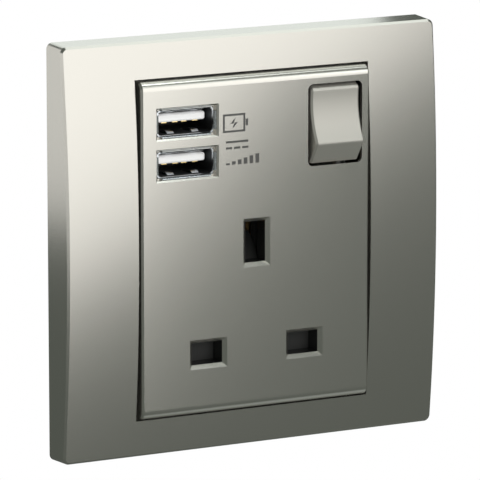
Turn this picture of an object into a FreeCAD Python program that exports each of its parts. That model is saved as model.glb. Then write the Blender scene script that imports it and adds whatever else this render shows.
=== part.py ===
import FreeCAD, Part
import math
import os
from types import SimpleNamespace

import Sketcher

# A single switched wall socket for a three-pin plug, with two USB charging ports.
# Axes: X to the right as seen from the front, Y into the wall, Z up, and the wall's face at Y = 0.
# "front" in the names below is a distance in front of the wall, so it is minus Y.
# The origin is midway between the two fixing holes, on the back of the support plate.

SIZES = (
    ("frame_width", 86.0, "surround frame, side to side at the wall"),
    ("frame_height", 86.0, "surround frame, bottom to top at the wall"),
    ("frame_edge", 6.2, "thickness of the surround frame at its top and bottom edges"),
    ("frame_crown", 2.5, "how much further the face stands out at mid height"),
    ("frame_draft", 0.25, "how far each edge leans in over the edge thickness"),
    ("frame_wall", 2.0, "outer side wall of the frame"),
    ("frame_skin", 2.2, "thickness of the frame's face"),
    ("frame_corner", 1.3, "radius of the frame's corners seen from the front"),
    ("frame_bevel", 0.45, "bevel along the frame's front edge"),
    ("collar_wall", 1.4, "wall round the frame's window"),
    ("collar_end", 4.2, "front position where the wall round the window ends"),
    ("side_gap", 0.6, "gap between cover and frame, left and right"),
    ("end_gap", 0.4, "gap between cover and frame, top and bottom"),
    ("cover_width", 52.4, "front cover, side to side"),
    ("cover_height", 69.6, "front cover, bottom to top"),
    ("cover_front", 8.9, "front position of the cover's flat face"),
    ("cover_skin", 2.2, "thickness of the cover's face"),
    ("cover_wall", 1.6, "side walls of the cover"),
    ("cover_roll", 1.9, "rounding of the cover's top and bottom edges"),
    ("side_bevel", 0.4, "bevel along the left and right edges of the cover and the rocker"),
    ("plate_inset", 3.5, "distance of the support plate's edges inside the frame's edges"),
    ("plate_thick", 1.5, "support plate thickness"),
    ("plate_corner", 3.0, "support plate corner radius"),
    ("plate_open_width", 48.6, "window in the support plate, side to side"),
    ("plate_open_height", 59.2, "window in the support plate, bottom to top"),
    ("fixing_pitch", 60.3, "distance between the two fixing holes"),
    ("fixing_radius", 2.1, "radius of the fixing holes"),
    ("lug_reach", 5.2, "front position of the tips of the plate's lugs"),
    ("lug_thick", 1.2, "thickness of the plate's lugs"),
    ("lug_width", 8.0, "width of the plate's lugs"),
    ("lug_inset", 2.3, "distance of the lugs' inner faces from the plate's edges"),
    ("lug_height", 22.0, "height of the lugs above and below the middle"),
    ("catch_bite", 0.9, "how far the frame's catches reach into the lugs"),
    ("catch_low", 3.0, "front position of the back of a catch"),
    ("catch_thick", 1.0, "thickness of a catch"),
    ("catch_width", 4.0, "width of a catch"),
    ("catch_play", 0.25, "free space round a catch"),
    ("housing_width", 50.0, "rear housing, side to side"),
    ("housing_height", 68.0, "rear housing, bottom to top"),
    ("housing_deep", 24.5, "depth of the rear housing behind the wall's face"),
    ("housing_step", 12.4, "depth of the shallow strip along the bottom"),
    ("housing_foot", -26.0, "height of the underside of the deep part"),
    ("housing_wall", 1.6, "walls of the rear housing"),
    ("housing_rim", 1.0, "how far the rim stands out to the sides"),
    ("housing_rim_deep", 2.0, "depth of the rim"),
    ("housing_corner", 2.0, "corner radius of the rear housing"),
    ("screw_side", 21.0, "sideways place of the two lower assembly screws"),
    ("screw_rise", 31.6, "height of the assembly screws above and below the middle"),
    ("screw_top_side", 4.5, "sideways place of the upper assembly screw"),
    ("screw_radius", 1.25, "assembly screw shank radius"),
    ("screw_head_radius", 2.0, "assembly screw head radius"),
    ("screw_head_high", 1.3, "assembly screw head height"),
    ("screw_seat", 9.6, "depth of the face that the screw heads pull on"),
    ("screw_bite", 4.0, "how far the screws reach into the cover's pillars"),
    ("screw_play", 0.05, "radial play of the screws in their holes"),
    ("screw_room", 0.5, "free depth beyond the tips of the assembly screws"),
    ("head_play", 0.3, "radial play of the assembly screws' heads in their wells"),
    ("pillar_radius", 2.2, "radius of the cover's screw pillars"),
    ("well_wall", 0.8, "wall of the screw wells in the housing"),
    ("pin_side", 11.1, "sideways place of the two lower plug pins"),
    ("pin_drop", 22.2, "distance from the earth pin down to the two lower pins"),
    ("pin_wide", 6.35, "lower plug pin, side to side"),
    ("pin_thick", 4.0, "thickness of every plug pin"),
    ("earth_pin_tall", 7.92, "earth plug pin, bottom to top"),
    ("pin_play", 0.3, "clearance round a plug pin in its hole"),
    ("slot_bevel", 0.8, "bevel round the pin holes"),
    ("slot_collar", 1.0, "wall of the guides behind the pin holes"),
    ("slot_collar_end", 4.2, "front position where the guides of the lower holes end"),
    ("earth_collar_end", 4.6, "front position where the guide of the earth hole ends"),
    ("shutter_front", 4.0, "front position of the shutter's front face"),
    ("shutter_thick", 2.2, "thickness of the shutter"),
    ("shutter_travel", 5.2, "how far the earth pin drives the shutter down"),
    ("shutter_lap", 0.7, "how far the shutter covers the solid round a hole"),
    ("shutter_spine", 6.0, "width of the shutter's spine and ramp"),
    ("ramp_front", 4.4, "front position of the ramp's lower end"),
    ("ramp_rise", 5.0, "height and depth of the 45 degree ramp"),
    ("ramp_low", -4.4, "height of the ramp's lower end"),
    ("ramp_land", 2.0, "flat land below the ramp"),
    ("guide_play", 0.15, "sideways play of the shutter between its guides"),
    ("guide_rib", 1.5, "thickness of the guide ribs"),
    ("peg_radius", 0.8, "peg that holds the shutter's spring"),
    ("peg_long", 1.8, "length of that peg"),
    ("shutter_spring_radius", 1.1, "mean radius of the shutter's spring"),
    ("shutter_spring_wire", 0.3, "wire of the shutter's spring"),
    ("shutter_spring_turns", 6.0, "turns of the shutter's spring"),
    ("retainer_front", 1.6, "front position of the shutter retainer's front face"),
    ("retainer_thick", 1.4, "thickness of the shutter retainer"),
    ("retainer_half", 18.0, "half the width of the retainer"),
    ("retainer_low", -29.3, "height of the retainer's lower edge"),
    ("retainer_step", -16.5, "height where the retainer narrows"),
    ("retainer_top", 7.2, "height of the retainer's upper edge"),
    ("retainer_neck", 7.4, "half the width of the retainer's upper part"),
    ("stake_radius", 0.7, "heat stakes that hold the retainer"),
    ("stake_long", 1.8, "length of the heat stakes"),
    ("stake_inset", 6.0, "height of the lower stakes above the retainer's lower edge"),
    ("stake_play", 0.1, "radial play of the stakes in the retainer"),
    ("post_side", 5.6, "sideways place of the retainer's upper posts"),
    ("post_radius", 1.5, "radius of the retainer's upper posts"),
    ("rocker_side", 18.155, "sideways place of the rocker"),
    ("rocker_rise", 23.17, "height of the rocker's axis"),
    ("rocker_axis_deep", 7.6, "depth of the rocker's axis behind the cover's face"),
    ("rocker_width", 11.2, "rocker, side to side"),
    ("rocker_swing", 24.0, "full swing of the rocker in degrees"),
    ("nose_out", 9.2, "distance of the rocker's two noses in front of its axis"),
    ("nose_half", 5.6, "half the distance between the noses"),
    ("rocker_sag", 1.05, "how far the rocker's face is hollowed"),
    ("flank_out", 5.35, "distance of the ends of the flanks in front of the axis"),
    ("flank_half", 9.27, "half the height of the rocker at the ends of its flanks"),
    ("skirt_out", 4.3, "distance of the rocker's lower rim in front of the axis"),
    ("skirt_half", 8.8, "half the height of the rocker at its lower rim"),
    ("rocker_wall", 1.4, "side walls of the rocker"),
    ("rocker_skin", 1.75, "thickness of the rocker at the middle of its face"),
    ("nose_round", 0.7, "rounding of the noses"),
    ("hub_half", 3.4, "half the width of the rocker's hub"),
    ("hub_radius", 2.4, "half the height of the rocker's hub"),
    ("trunnion_radius", 1.5, "radius of the rocker's trunnions"),
    ("trunnion_reach", 5.0, "reach of the trunnions from the rocker's middle"),
    ("trunnion_play", 0.05, "radial play of the trunnions"),
    ("plunger_radius", 1.2, "radius of the spring plunger"),
    ("plunger_bore_play", 0.08, "radial play of the plunger in the rocker"),
    ("plunger_tip", 8.3, "distance of the plunger's tip behind the rocker's axis"),
    ("plunger_head", 1.0, "distance of the plunger's head behind the rocker's axis"),
    ("bore_top", 4.5, "distance of the bore's end in front of the rocker's axis"),
    ("boss_end", 5.0, "distance of the boss's end behind the rocker's axis"),
    ("boss_radius", 2.3, "radius of the boss round the plunger"),
    ("plunger_spring_radius", 0.9, "mean radius of the plunger's spring"),
    ("plunger_spring_wire", 0.26, "wire of the plunger's spring"),
    ("plunger_spring_turns", 7.0, "turns of the plunger's spring"),
    ("spring_play", 0.03, "free space at the ends of a spring"),
    ("opening_width", 12.63, "rocker's window in the cover, side to side"),
    ("opening_height", 17.03, "rocker's window in the cover, bottom to top"),
    ("opening_corner", 1.15, "corner radius of the rocker's window"),
    ("opening_land", 0.6, "straight edge of that window before it opens out"),
    ("opening_room", 0.5, "extra height inside the cover over the rocker"),
    ("blade_thick", 0.8, "thickness of the switch blade"),
    ("blade_width", 5.0, "width of the switch blade"),
    ("blade_half", 8.6, "half the length of the switch blade"),
    ("blade_swing", 18.0, "full swing of the switch blade in degrees"),
    ("blade_play", 0.05, "space between the plunger's tip and the blade at mid swing"),
    ("contact_place", 7.3, "distance of the switch contacts from the blade's axis"),
    ("contact_radius", 1.2, "radius of the contact buttons"),
    ("contact_thick", 0.6, "thickness of the contact buttons"),
    ("contact_play", 0.05, "space between the closed contacts"),
    ("strap_thick", 0.6, "thickness of the contact straps"),
    ("strap_width", 4.0, "width of the live contact's strap at the switch"),
    ("strap_lap", 3.0, "distance of that strap's end below the blade's axis"),
    ("feed_thick", 0.7, "thickness of the live feed strap"),
    ("feed_arm", 3.3, "height of the live feed's arm over the switch"),
    ("feed_spine", 3.0, "depth of the live feed's upright strip"),
    ("web_thick", 1.3, "thickness of the cradle's web"),
    ("cradle_inner", 3.7, "half the distance between the cradle's walls"),
    ("cradle_wall", 1.4, "walls of the switch cradle"),
    ("cradle_low", 15.0, "height of the cradle's lower edge"),
    ("cradle_top", 31.9, "height of the cradle's upper edge"),
    ("cradle_ear", 0.5, "material round the trunnions in the cradle"),
    ("cradle_shoulder", 3.6, "distance from the cradle's top down to its walls"),
    ("fulcrum_radius", 0.5, "rounded tip of the blade's support"),
    ("blade_inset", 0.2, "how much narrower the support is than the blade, each side"),
    ("support_reach", 2.0, "how far the support's foot goes above the blade's axis"),
    ("terminal_width", 8.0, "terminal blocks, side to side"),
    ("terminal_height", 9.0, "terminal blocks, bottom to top"),
    ("terminal_deep", 7.6, "terminal blocks, front to back"),
    ("cable_radius", 2.25, "radius of the cable bores"),
    ("mouth_radius", 2.6, "radius of the cable mouths in the housing"),
    ("clamp_screw_radius", 1.7, "terminal screw shank radius"),
    ("clamp_head_radius", 2.7, "terminal screw head radius"),
    ("clamp_head_high", 1.4, "terminal screw head height"),
    ("access_radius", 3.2, "radius of the screwdriver holes"),
    ("strap_inset", 1.0, "distance of a strap's end from the end of its terminal"),
    ("terminal_edge", 0.4, "bevel on the terminal blocks"),
    ("leaf_thick", 0.6, "sheet thickness of the pin contacts"),
    ("leaf_gap", 2.1, "half the gap between the leaves beside the pin"),
    ("pinch_gap", 1.7, "half the gap where the leaves grip the pin"),
    ("mouth_gap", 2.9, "half the gap at the mouth of the contacts"),
    ("pinch_deep", 3.0, "distance from mouth to grip, and from grip to straight"),
    ("leaf_width", 6.0, "width of the lower contacts"),
    ("earth_leaf_width", 7.6, "width of the earth contact"),
    ("jaw_mouth", -0.2, "front position of the mouths of the lower contacts"),
    ("earth_jaw_mouth", -1.2, "front position of the mouth of the earth contact"),
    ("clip_thick", 0.5, "thickness of the spring clips round the contacts"),
    ("clip_wide", 1.6, "width of the spring clips"),
    ("clip_play", 0.03, "space between a clip and the leaves"),
    ("earth_strap_thick", 0.8, "thickness of the earth strap"),
    ("earth_strap_width", 5.0, "width of the earth strap"),
    ("post_low", -14.0, "lower end of the post under the live contact's strap"),
    ("post_high", -6.0, "upper end of that post"),
    ("post_inset", 1.0, "distance of that post from the middle of the live pin"),
    ("port_side", -15.8, "sideways place of the USB ports"),
    ("port_rise", 21.75, "height midway between the two ports"),
    ("port_pitch", 8.5, "distance between the two ports"),
    ("shell_width", 13.1, "USB shell, side to side"),
    ("shell_height", 5.7, "USB shell, bottom to top"),
    ("shell_sheet", 0.3, "sheet thickness of the USB shells"),
    ("shell_long", 14.0, "length of the USB shells"),
    ("shell_recess", 0.8, "distance of the shells behind the cover's face"),
    ("shell_notch", 0.9, "notches in the corners of the shells' mouths"),
    ("port_play", 0.2, "free space round the USB shells"),
    ("port_bevel", 0.35, "bevel round the USB openings"),
    ("port_collar", 1.0, "wall round the USB openings inside the cover"),
    ("port_collar_end", 3.0, "front position where that wall ends"),
    ("finger_place", 2.8, "sideways place of the shells' spring fingers"),
    ("finger_width", 1.5, "width of the spring fingers"),
    ("finger_play", 0.2, "gap beside a spring finger"),
    ("finger_tip", 1.2, "distance of the fingers' tips behind the shell's mouth"),
    ("finger_long", 5.0, "length of the fingers"),
    ("finger_sink", 0.55, "how far the fingers bend into the port"),
    ("finger_lip", 0.1, "how far their tips stay inside the shell's wall"),
    ("tongue_width", 10.9, "width of the plastic tongue in a port"),
    ("tongue_thick", 1.6, "thickness of the tongue"),
    ("tongue_lift", 0.7, "height of the tongue above the port's middle"),
    ("tongue_recess", 2.2, "distance of the tongue behind the shell's mouth"),
    ("tongue_root", 2.9, "depth of the block that carries the tongue"),
    ("tongue_play", 0.05, "play of the tongue's block in the shell, each side"),
    ("strip_width", 1.2, "width of the contact strips under the tongue"),
    ("strip_inset", 0.8, "distance of the strips from the tongue's front edge"),
    ("strip_inner", 1.0, "sideways place of the two inner strips"),
    ("strip_outer", 3.5, "sideways place of the two outer strips"),
    ("board_thick", 1.6, "thickness of the USB circuit board"),
    ("board_left", -22.6, "left edge of the board"),
    ("board_right", 1.0, "right edge of the board"),
    ("board_low", 10.0, "lower edge of the board"),
    ("board_top", 31.8, "upper edge of the board"),
    ("rail_wide", 1.6, "width of the rails under the board"),
    ("rail_inset", 1.0, "how far the left rail reaches under the board"),
    ("rail_lift", 4.0, "distance from the board's lower edge up to the rails"),
    ("core_width", 12.0, "transformer core, side to side"),
    ("core_height", 12.0, "transformer core, bottom to top"),
    ("core_deep", 9.0, "transformer core, front to back"),
    ("core_side", -14.6, "sideways place of the transformer"),
    ("core_rise", 22.0, "height of the transformer"),
    ("core_limb", 2.4, "thickness of the core's limbs"),
    ("winding_wall", 1.4, "thickness of the winding in front of and behind the core"),
    ("winding_play", 0.05, "space between the core and its winding"),
    ("capacitor_radius", 3.15, "radius of the capacitors"),
    ("capacitor_long", 11.0, "length of the capacitors"),
    ("capacitor_side", -4.2, "sideways place of the capacitors"),
    ("capacitor_inset", 0.4, "distance of the upper capacitor from the board's edge"),
    ("capacitor_gap", 0.5, "space between the capacitors"),
    ("chip_width", 5.0, "rectifier chip, side to side"),
    ("chip_height", 3.6, "rectifier chip, bottom to top"),
    ("chip_lift", 5.6, "height of the chip above the board's lower edge"),
    ("feed_strip", 3.0, "width of the straps that feed the board"),
    ("feed_lift", 0.4, "distance of the live strap above the board's lower edge"),
    ("feed_inset", 3.4, "distance of the live strap from the board's right edge"),
    ("feed_lap", 1.0, "how far the live strap lies on the live contact"),
    ("feed_play", 0.2, "gap between the neutral strap and the contact's upper leaf"),
    ("ramp_play", 0.2, "space under the ramp at the end of its travel"),
)

doc = FreeCAD.newDocument("usb_wall_socket")
sheet = doc.addObject("Spreadsheet::Sheet", "Sizes")
for row, (name, value, note) in enumerate(SIZES, start=1):
    sheet.set(f"A{row}", name)
    sheet.set(f"B{row}", str(value))
    sheet.set(f"C{row}", note)
    sheet.setAlias(f"B{row}", name)
doc.recompute()


class Size:
    """A length or angle: its value, and the sheet expression that gives it."""

    def __init__(self, value, text=None):
        self.value = float(value)
        self.text = text or f"({float(value)})"

    def join(self, other, sign, value):
        return Size(value, f"({self.text} {sign} {other.text})")

    def __add__(self, other):
        other = sized(other)
        return self.join(other, "+", self.value + other.value)

    def __sub__(self, other):
        other = sized(other)
        return self.join(other, "-", self.value - other.value)

    def __mul__(self, other):
        other = sized(other)
        return self.join(other, "*", self.value * other.value)

    def __truediv__(self, other):
        other = sized(other)
        return self.join(other, "/", self.value / other.value)

    def __radd__(self, other):
        return sized(other) + self

    def __rsub__(self, other):
        return sized(other) - self

    def __rmul__(self, other):
        return sized(other) * self

    def __neg__(self):
        return sized(0) - self


def sized(number):
    return number if isinstance(number, Size) else Size(number)


def root(size):
    return Size(math.sqrt(size.value), f"sqrt({size.text})")


def sine(degrees):
    return Size(math.sin(math.radians(degrees.value)), f"sin({degrees.text})")


s = SimpleNamespace(**{name: Size(value, f"Sizes.{name}") for name, value, note in SIZES})

# Drawing planes. Each has the origin plane that it lies on, and where a drawn point (a, b) goes:
# "front" takes (x, z) and grows forwards, "side" takes (front, z) and grows to the right,
# and "top" takes (x, front) and grows upwards.
PLANES = {
    "front": ("XZ_Plane", lambda a, b: (a, b)),
    "side": ("YZ_Plane", lambda a, b: (-a, b)),
    "top": ("XY_Plane", lambda a, b: (a, -b)),
}
VIA = "via"
ROUND = 1 - math.sqrt(0.5)
bodies = []


def new_body(name):
    body = doc.addObject("PartDesign::Body", name)
    body.Label = name
    body.AllowCompound = True
    bodies.append(body)
    return body


def hold(sketch, geometry, vertex, x, y):
    """Ties a point of the sketch to two sizes, measured from the sketch's origin."""
    for kind, size in (("DistanceX", sized(x)), ("DistanceY", sized(y))):
        number = sketch.addConstraint(Sketcher.Constraint(kind, -1, 1, geometry, vertex, size.value))
        sketch.setExpression(f"Constraints[{number}]", size.text)


def ring(x, y, radius):
    """A circle about (x, y)."""
    def draw(sketch, place):
        a, b = place(sized(x), sized(y))
        centre = FreeCAD.Vector(a.value, b.value, 0)
        circle = Part.Circle(centre, FreeCAD.Vector(0, 0, 1), sized(radius).value)
        number = sketch.addGeometry(circle, False)
        hold(sketch, number, 3, a, b)
        constraint = sketch.addConstraint(Sketcher.Constraint("Radius", number, sized(radius).value))
        sketch.setExpression(f"Constraints[{constraint}]", sized(radius).text)
    return draw


def path(points):
    """A closed outline. A point marked VIA lies on the arc between its two neighbours."""
    def draw(sketch, place):
        spots = []
        for point in points:
            a, b = place(sized(point[0]), sized(point[1]))
            spots.append((a, b, FreeCAD.Vector(a.value, b.value, 0), len(point) > 2))
        corners = [number for number, spot in enumerate(spots) if not spot[3]]
        ends = []
        for number in corners:
            start = spots[number]
            after = spots[(number + 1) % len(spots)]
            if after[3]:
                stop = spots[(number + 2) % len(spots)]
                arc = Part.Arc(start[2], after[2], stop[2])
                index = sketch.addGeometry(arc, False)
                first = sketch.getPoint(index, 1)
                forward = first.distanceToPoint(start[2]) < first.distanceToPoint(stop[2])
                ends.append((index, 1, 2) if forward else (index, 2, 1))
                mark = sketch.addGeometry(Part.Point(after[2]), True)
                hold(sketch, mark, 1, after[0], after[1])
                sketch.addConstraint(Sketcher.Constraint("PointOnObject", mark, 1, index))
            else:
                index = sketch.addGeometry(Part.LineSegment(start[2], after[2]), False)
                ends.append((index, 1, 2))
        for here, number in enumerate(corners):
            index, begin, finish = ends[here]
            before = ends[here - 1]
            hold(sketch, index, begin, spots[number][0], spots[number][1])
            sketch.addConstraint(Sketcher.Constraint("Coincident", before[0], before[2], index, begin))
    return draw


def box(x, y, width, height):
    """A rectangle about (x, y)."""
    a, b = sized(width) / 2, sized(height) / 2
    return path([(x - a, y - b), (x + a, y - b), (x + a, y + b), (x - a, y + b)])


def span(left, right, low, top):
    """A rectangle given by its four sides."""
    return path([(left, low), (right, low), (right, top), (left, top)])


def soft_box(x, y, width, height, radius):
    """A rectangle about (x, y) with rounded corners."""
    a, b, cut = sized(width) / 2, sized(height) / 2, sized(radius)
    tuck = cut * ROUND
    points = []
    for along, across in ((1, -1), (1, 1), (-1, 1), (-1, -1)):
        first = (x + along * (a - cut), y + across * b)
        second = (x + along * a, y + across * (b - cut))
        middle = (x + along * (a - tuck), y + across * (b - tuck), VIA)
        if along == across:
            first, second = second, first
        points += [first, middle, second]
    return path(points)


def new_sketch(body, plane, offset, *outlines):
    role, place = PLANES[plane]
    sketch = body.newObject("Sketcher::SketchObject", f"{body.Name}_sketch")
    support = [item for item in body.Origin.OriginFeatures if item.Role == role][0]
    sketch.AttachmentSupport = (support, [""])
    sketch.MapMode = "FlatFace"
    offset = sized(offset)
    sketch.AttachmentOffset = FreeCAD.Placement(FreeCAD.Vector(0, 0, offset.value), FreeCAD.Rotation())
    sketch.setExpression("AttachmentOffset.Base.z", offset.text)
    for outline in outlines:
        outline(sketch, place)
    sketch.Visibility = False
    return sketch


def add(body, plane, low, high, *outlines):
    """Adds material between two positions along the plane's direction."""
    feature_sketch = new_sketch(body, plane, low, *outlines)
    feature = body.newObject("PartDesign::Pad", f"{body.Name}_pad")
    feature.Profile = feature_sketch
    feature.setExpression("Length", (sized(high) - sized(low)).text)
    return feature


def cut(body, plane, low, high, *outlines):
    """Takes material away between two positions along the plane's direction."""
    feature_sketch = new_sketch(body, plane, high, *outlines)
    feature = body.newObject("PartDesign::Pocket", f"{body.Name}_pocket")
    feature.Profile = feature_sketch
    feature.setExpression("Length", (sized(high) - sized(low)).text)
    return feature


def turn(body, outline):
    """A full turn of an outline about the line through the middle, front to back."""
    feature_sketch = new_sketch(body, "side", 0, outline)
    feature = body.newObject("PartDesign::Revolution", f"{body.Name}_turn")
    feature.Profile = feature_sketch
    feature.ReferenceAxis = (feature_sketch, ["H_Axis"])
    feature.Angle = 360
    return feature


def spring(name, radius, wire, turns, low, high):
    """A coil spring along its own Z axis, as a solid with flat facets."""
    steps = 10
    sides = 4
    count = round(turns.value * steps)
    pitch = (high.value - low.value) / turns.value
    slope = math.atan2(pitch, 2 * math.pi * radius.value)
    rings = []
    for step in range(count + 1):
        angle = 2 * math.pi * step / steps
        outward = FreeCAD.Vector(math.cos(angle), math.sin(angle), 0)
        sideways = FreeCAD.Vector(-math.sin(angle), math.cos(angle), 0)
        upward = FreeCAD.Vector(0, 0, math.cos(slope)) - sideways * math.sin(slope)
        middle = outward * radius.value + FreeCAD.Vector(0, 0, low.value + pitch * step / steps)
        corners = []
        for side in range(sides):
            round_angle = 2 * math.pi * side / sides
            offset = outward * math.cos(round_angle) + upward * math.sin(round_angle)
            corners.append(middle + offset * (wire.value / 2))
        rings.append(corners)

    def facet(*corners):
        return Part.Face(Part.makePolygon([*corners, corners[0]]))

    faces = [facet(*rings[0]), facet(*reversed(rings[-1]))]
    for here, there in zip(rings, rings[1:]):
        for side in range(sides):
            after = (side + 1) % sides
            faces.append(facet(here[side], there[side], there[after]))
            faces.append(facet(here[side], there[after], here[after]))
    solid = Part.makeSolid(Part.makeShell(faces))
    if solid.Volume < 0:
        solid.reverse()
    feature = doc.addObject("Part::Feature", name)
    feature.Label = name
    feature.Shape = solid
    bodies.append(feature)
    return feature


def edges_of(body, wanted):
    """Names of the edges of a body, so far, whose bounding box passes a test."""
    doc.recompute()
    shape = body.Tip.Shape
    names = [f"Edge{i}" for i, edge in enumerate(shape.Edges, start=1) if wanted(edge.BoundBox)]
    if not names:
        raise RuntimeError(f"{body.Label}: no edge to finish")
    return (body.Tip, names)


def soften(body, radius, wanted):
    base = edges_of(body, wanted)
    feature = body.newObject("PartDesign::Fillet", f"{body.Name}_fillet")
    feature.Base = base
    feature.setExpression("Radius", radius.text)
    return feature


def bevel(body, size, wanted):
    base = edges_of(body, wanted)
    feature = body.newObject("PartDesign::Chamfer", f"{body.Name}_chamfer")
    feature.Base = base
    feature.setExpression("Size", size.text)
    return feature


def put(body, x=0, front=0, z=0, tilt=0):
    """Places a body, with a tilt in degrees about the X direction."""
    x, y, z, tilt = sized(x), -sized(front), sized(z), sized(tilt)
    turned = FreeCAD.Rotation(FreeCAD.Vector(1, 0, 0), tilt.value)
    body.Placement = FreeCAD.Placement(FreeCAD.Vector(x.value, y.value, z.value), turned)
    body.setExpression("Placement.Base.x", x.text)
    body.setExpression("Placement.Base.y", y.text)
    body.setExpression("Placement.Base.z", z.text)
    if tilt.value:
        body.setExpression("Placement.Rotation.Angle", tilt.text)


def near(value, size, slack=0.01):
    return abs(value - sized(size).value) < slack


# Places and sizes that follow from the sheet and are used by more than one part.
window_width = s.cover_width + 2 * s.side_gap
window_height = s.cover_height + 2 * s.end_gap
cover_inside = s.cover_front - s.cover_skin
plate_width = s.frame_width - 2 * s.plate_inset
plate_height = s.frame_height - 2 * s.plate_inset
lug_place = plate_width / 2 - s.lug_inset
hole_wide = s.pin_wide + 2 * s.pin_play
hole_thick = s.pin_thick + 2 * s.pin_play
earth_hole_tall = s.earth_pin_tall + 2 * s.pin_play
shutter_back = s.shutter_front - s.shutter_thick
shutter_half = s.pin_side + hole_wide / 2 + s.shutter_lap
shutter_top = hole_thick / 2 + s.shutter_lap - s.pin_drop
shutter_low = -hole_thick / 2 - s.shutter_lap - s.pin_drop
guide_inner = shutter_half + s.guide_play
guide_middle = guide_inner + s.guide_rib / 2
spring_floor = s.cover_wall - s.cover_height / 2
spring_front = s.shutter_front - s.shutter_thick / 2
stake_places = [(side * guide_middle, s.retainer_low + s.stake_inset) for side in (-1, 1)]
post_places = [(side * s.post_side, s.retainer_top - s.post_radius) for side in (-1, 1)]
screw_places = [
    (-s.screw_side, -s.screw_rise), (s.screw_side, -s.screw_rise), (s.screw_top_side, s.screw_rise)]
screw_hole = s.screw_radius + s.screw_play
well_hole = s.screw_head_radius + s.head_play
well_radius = well_hole + s.well_wall
axis_front = s.cover_front - s.rocker_axis_deep
blade_front = axis_front - s.plunger_tip - s.blade_play - s.blade_thick
half_blade_swing = s.blade_swing / 2
closed_reach = (s.contact_place + s.contact_radius) * sine(half_blade_swing)
closed_front = blade_front - s.contact_thick - closed_reach - s.contact_play
strap_back = closed_front - s.contact_thick
web_front = strap_back - s.feed_thick
floor_front = s.housing_wall - s.housing_deep
terminal_front = floor_front + s.terminal_deep
terminal_middle = floor_front + s.terminal_deep / 2
terminal_low = s.housing_foot + s.housing_wall
terminal_top = terminal_low + s.terminal_height
terminal_places = {"neutral": -s.pin_side, "earth": sized(0), "live": s.pin_side}
port_heights = {"upper": s.port_rise + s.port_pitch / 2, "lower": s.port_rise - s.port_pitch / 2}
shell_front = s.cover_front - s.shell_recess
board_front = shell_front - s.shell_long
board_back = board_front - s.board_thick
core_window = (s.core_width - 3 * s.core_limb) / 2
frame_radius = (s.frame_height / 2 - s.frame_draft) * (s.frame_height / 2 - s.frame_draft)
frame_radius = (frame_radius + s.frame_crown * s.frame_crown) / (2 * s.frame_crown)
frame_centre = s.frame_edge + s.frame_crown - frame_radius


def crown(z, inset):
    """Front position of the frame's crowned face, or of a skin that far under it, at a height."""
    reach = frame_radius - inset
    return frame_centre + root(reach * reach - z * z)


def surround_frame():
    """A crowned square frame, hollow behind, with a walled window and four catches."""
    body = new_body("surround_frame")
    half_width, half_height = s.frame_width / 2, s.frame_height / 2
    front_half = half_height - s.frame_draft
    crest = s.frame_edge + s.frame_crown
    add(body, "side", -half_width, half_width, path([
        (0, -half_height), (0, half_height), (s.frame_edge, front_half),
        (crest, 0, VIA), (s.frame_edge, -front_half)]))
    beyond = crest + 1
    lean = s.frame_draft * beyond / s.frame_edge
    cut(body, "top", -half_height - 1, half_height + 1, *[
        path([(side * half_width, 0), (side * (half_width + 1), 0),
              (side * (half_width + 1), beyond), (side * (half_width - lean), beyond)])
        for side in (-1, 1)])
    soften(body, s.frame_corner, lambda b: b.YLength > 4 and b.XLength < 1 and b.ZLength < 1)
    bevel(body, s.frame_bevel, lambda b: b.YMax < 1 - s.frame_edge.value)
    cut(body, "front", 0, beyond, box(0, 0, window_width, window_height))
    side_start = window_width / 2 + s.collar_wall
    side_stop = half_width - s.frame_wall
    end_start = window_height / 2 + s.collar_wall
    end_stop = half_height - s.frame_wall
    under = crown(end_stop, s.frame_skin)
    channel = path([(0, -end_stop), (0, end_stop), (under, end_stop),
                    (crest - s.frame_skin, 0, VIA), (under, -end_stop)])
    cut(body, "side", side_start, side_stop, channel)
    cut(body, "side", -side_stop, -side_start, channel)
    middle = (end_start + end_stop) / 2
    trough = [path([(0, side * end_start), (0, side * end_stop), (under, side * end_stop),
                    (crown(middle, s.frame_skin), side * middle, VIA),
                    (crown(end_start, s.frame_skin), side * end_start)]) for side in (-1, 1)]
    cut(body, "side", -side_start, side_start, *trough)
    cut(body, "front", 0, s.collar_end, box(0, 0, 2 * side_start, 2 * end_start))
    lug_outer = lug_place + s.lug_thick
    rib_inner = lug_outer + s.catch_play
    ribs = []
    catches = []
    for side in (-1, 1):
        for rise in (-s.lug_height, s.lug_height):
            ribs.append(box(side * (rib_inner + side_stop) / 2, rise, side_stop - rib_inner, s.catch_width))
            tip = lug_outer - s.catch_bite
            catches.append(box(side * (tip + side_stop) / 2, rise, side_stop - tip, s.catch_width))
    add(body, "front", s.plate_thick, s.frame_edge - s.frame_skin / 2, *ribs)
    add(body, "front", s.catch_low, s.catch_low + s.catch_thick, *catches)


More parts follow.
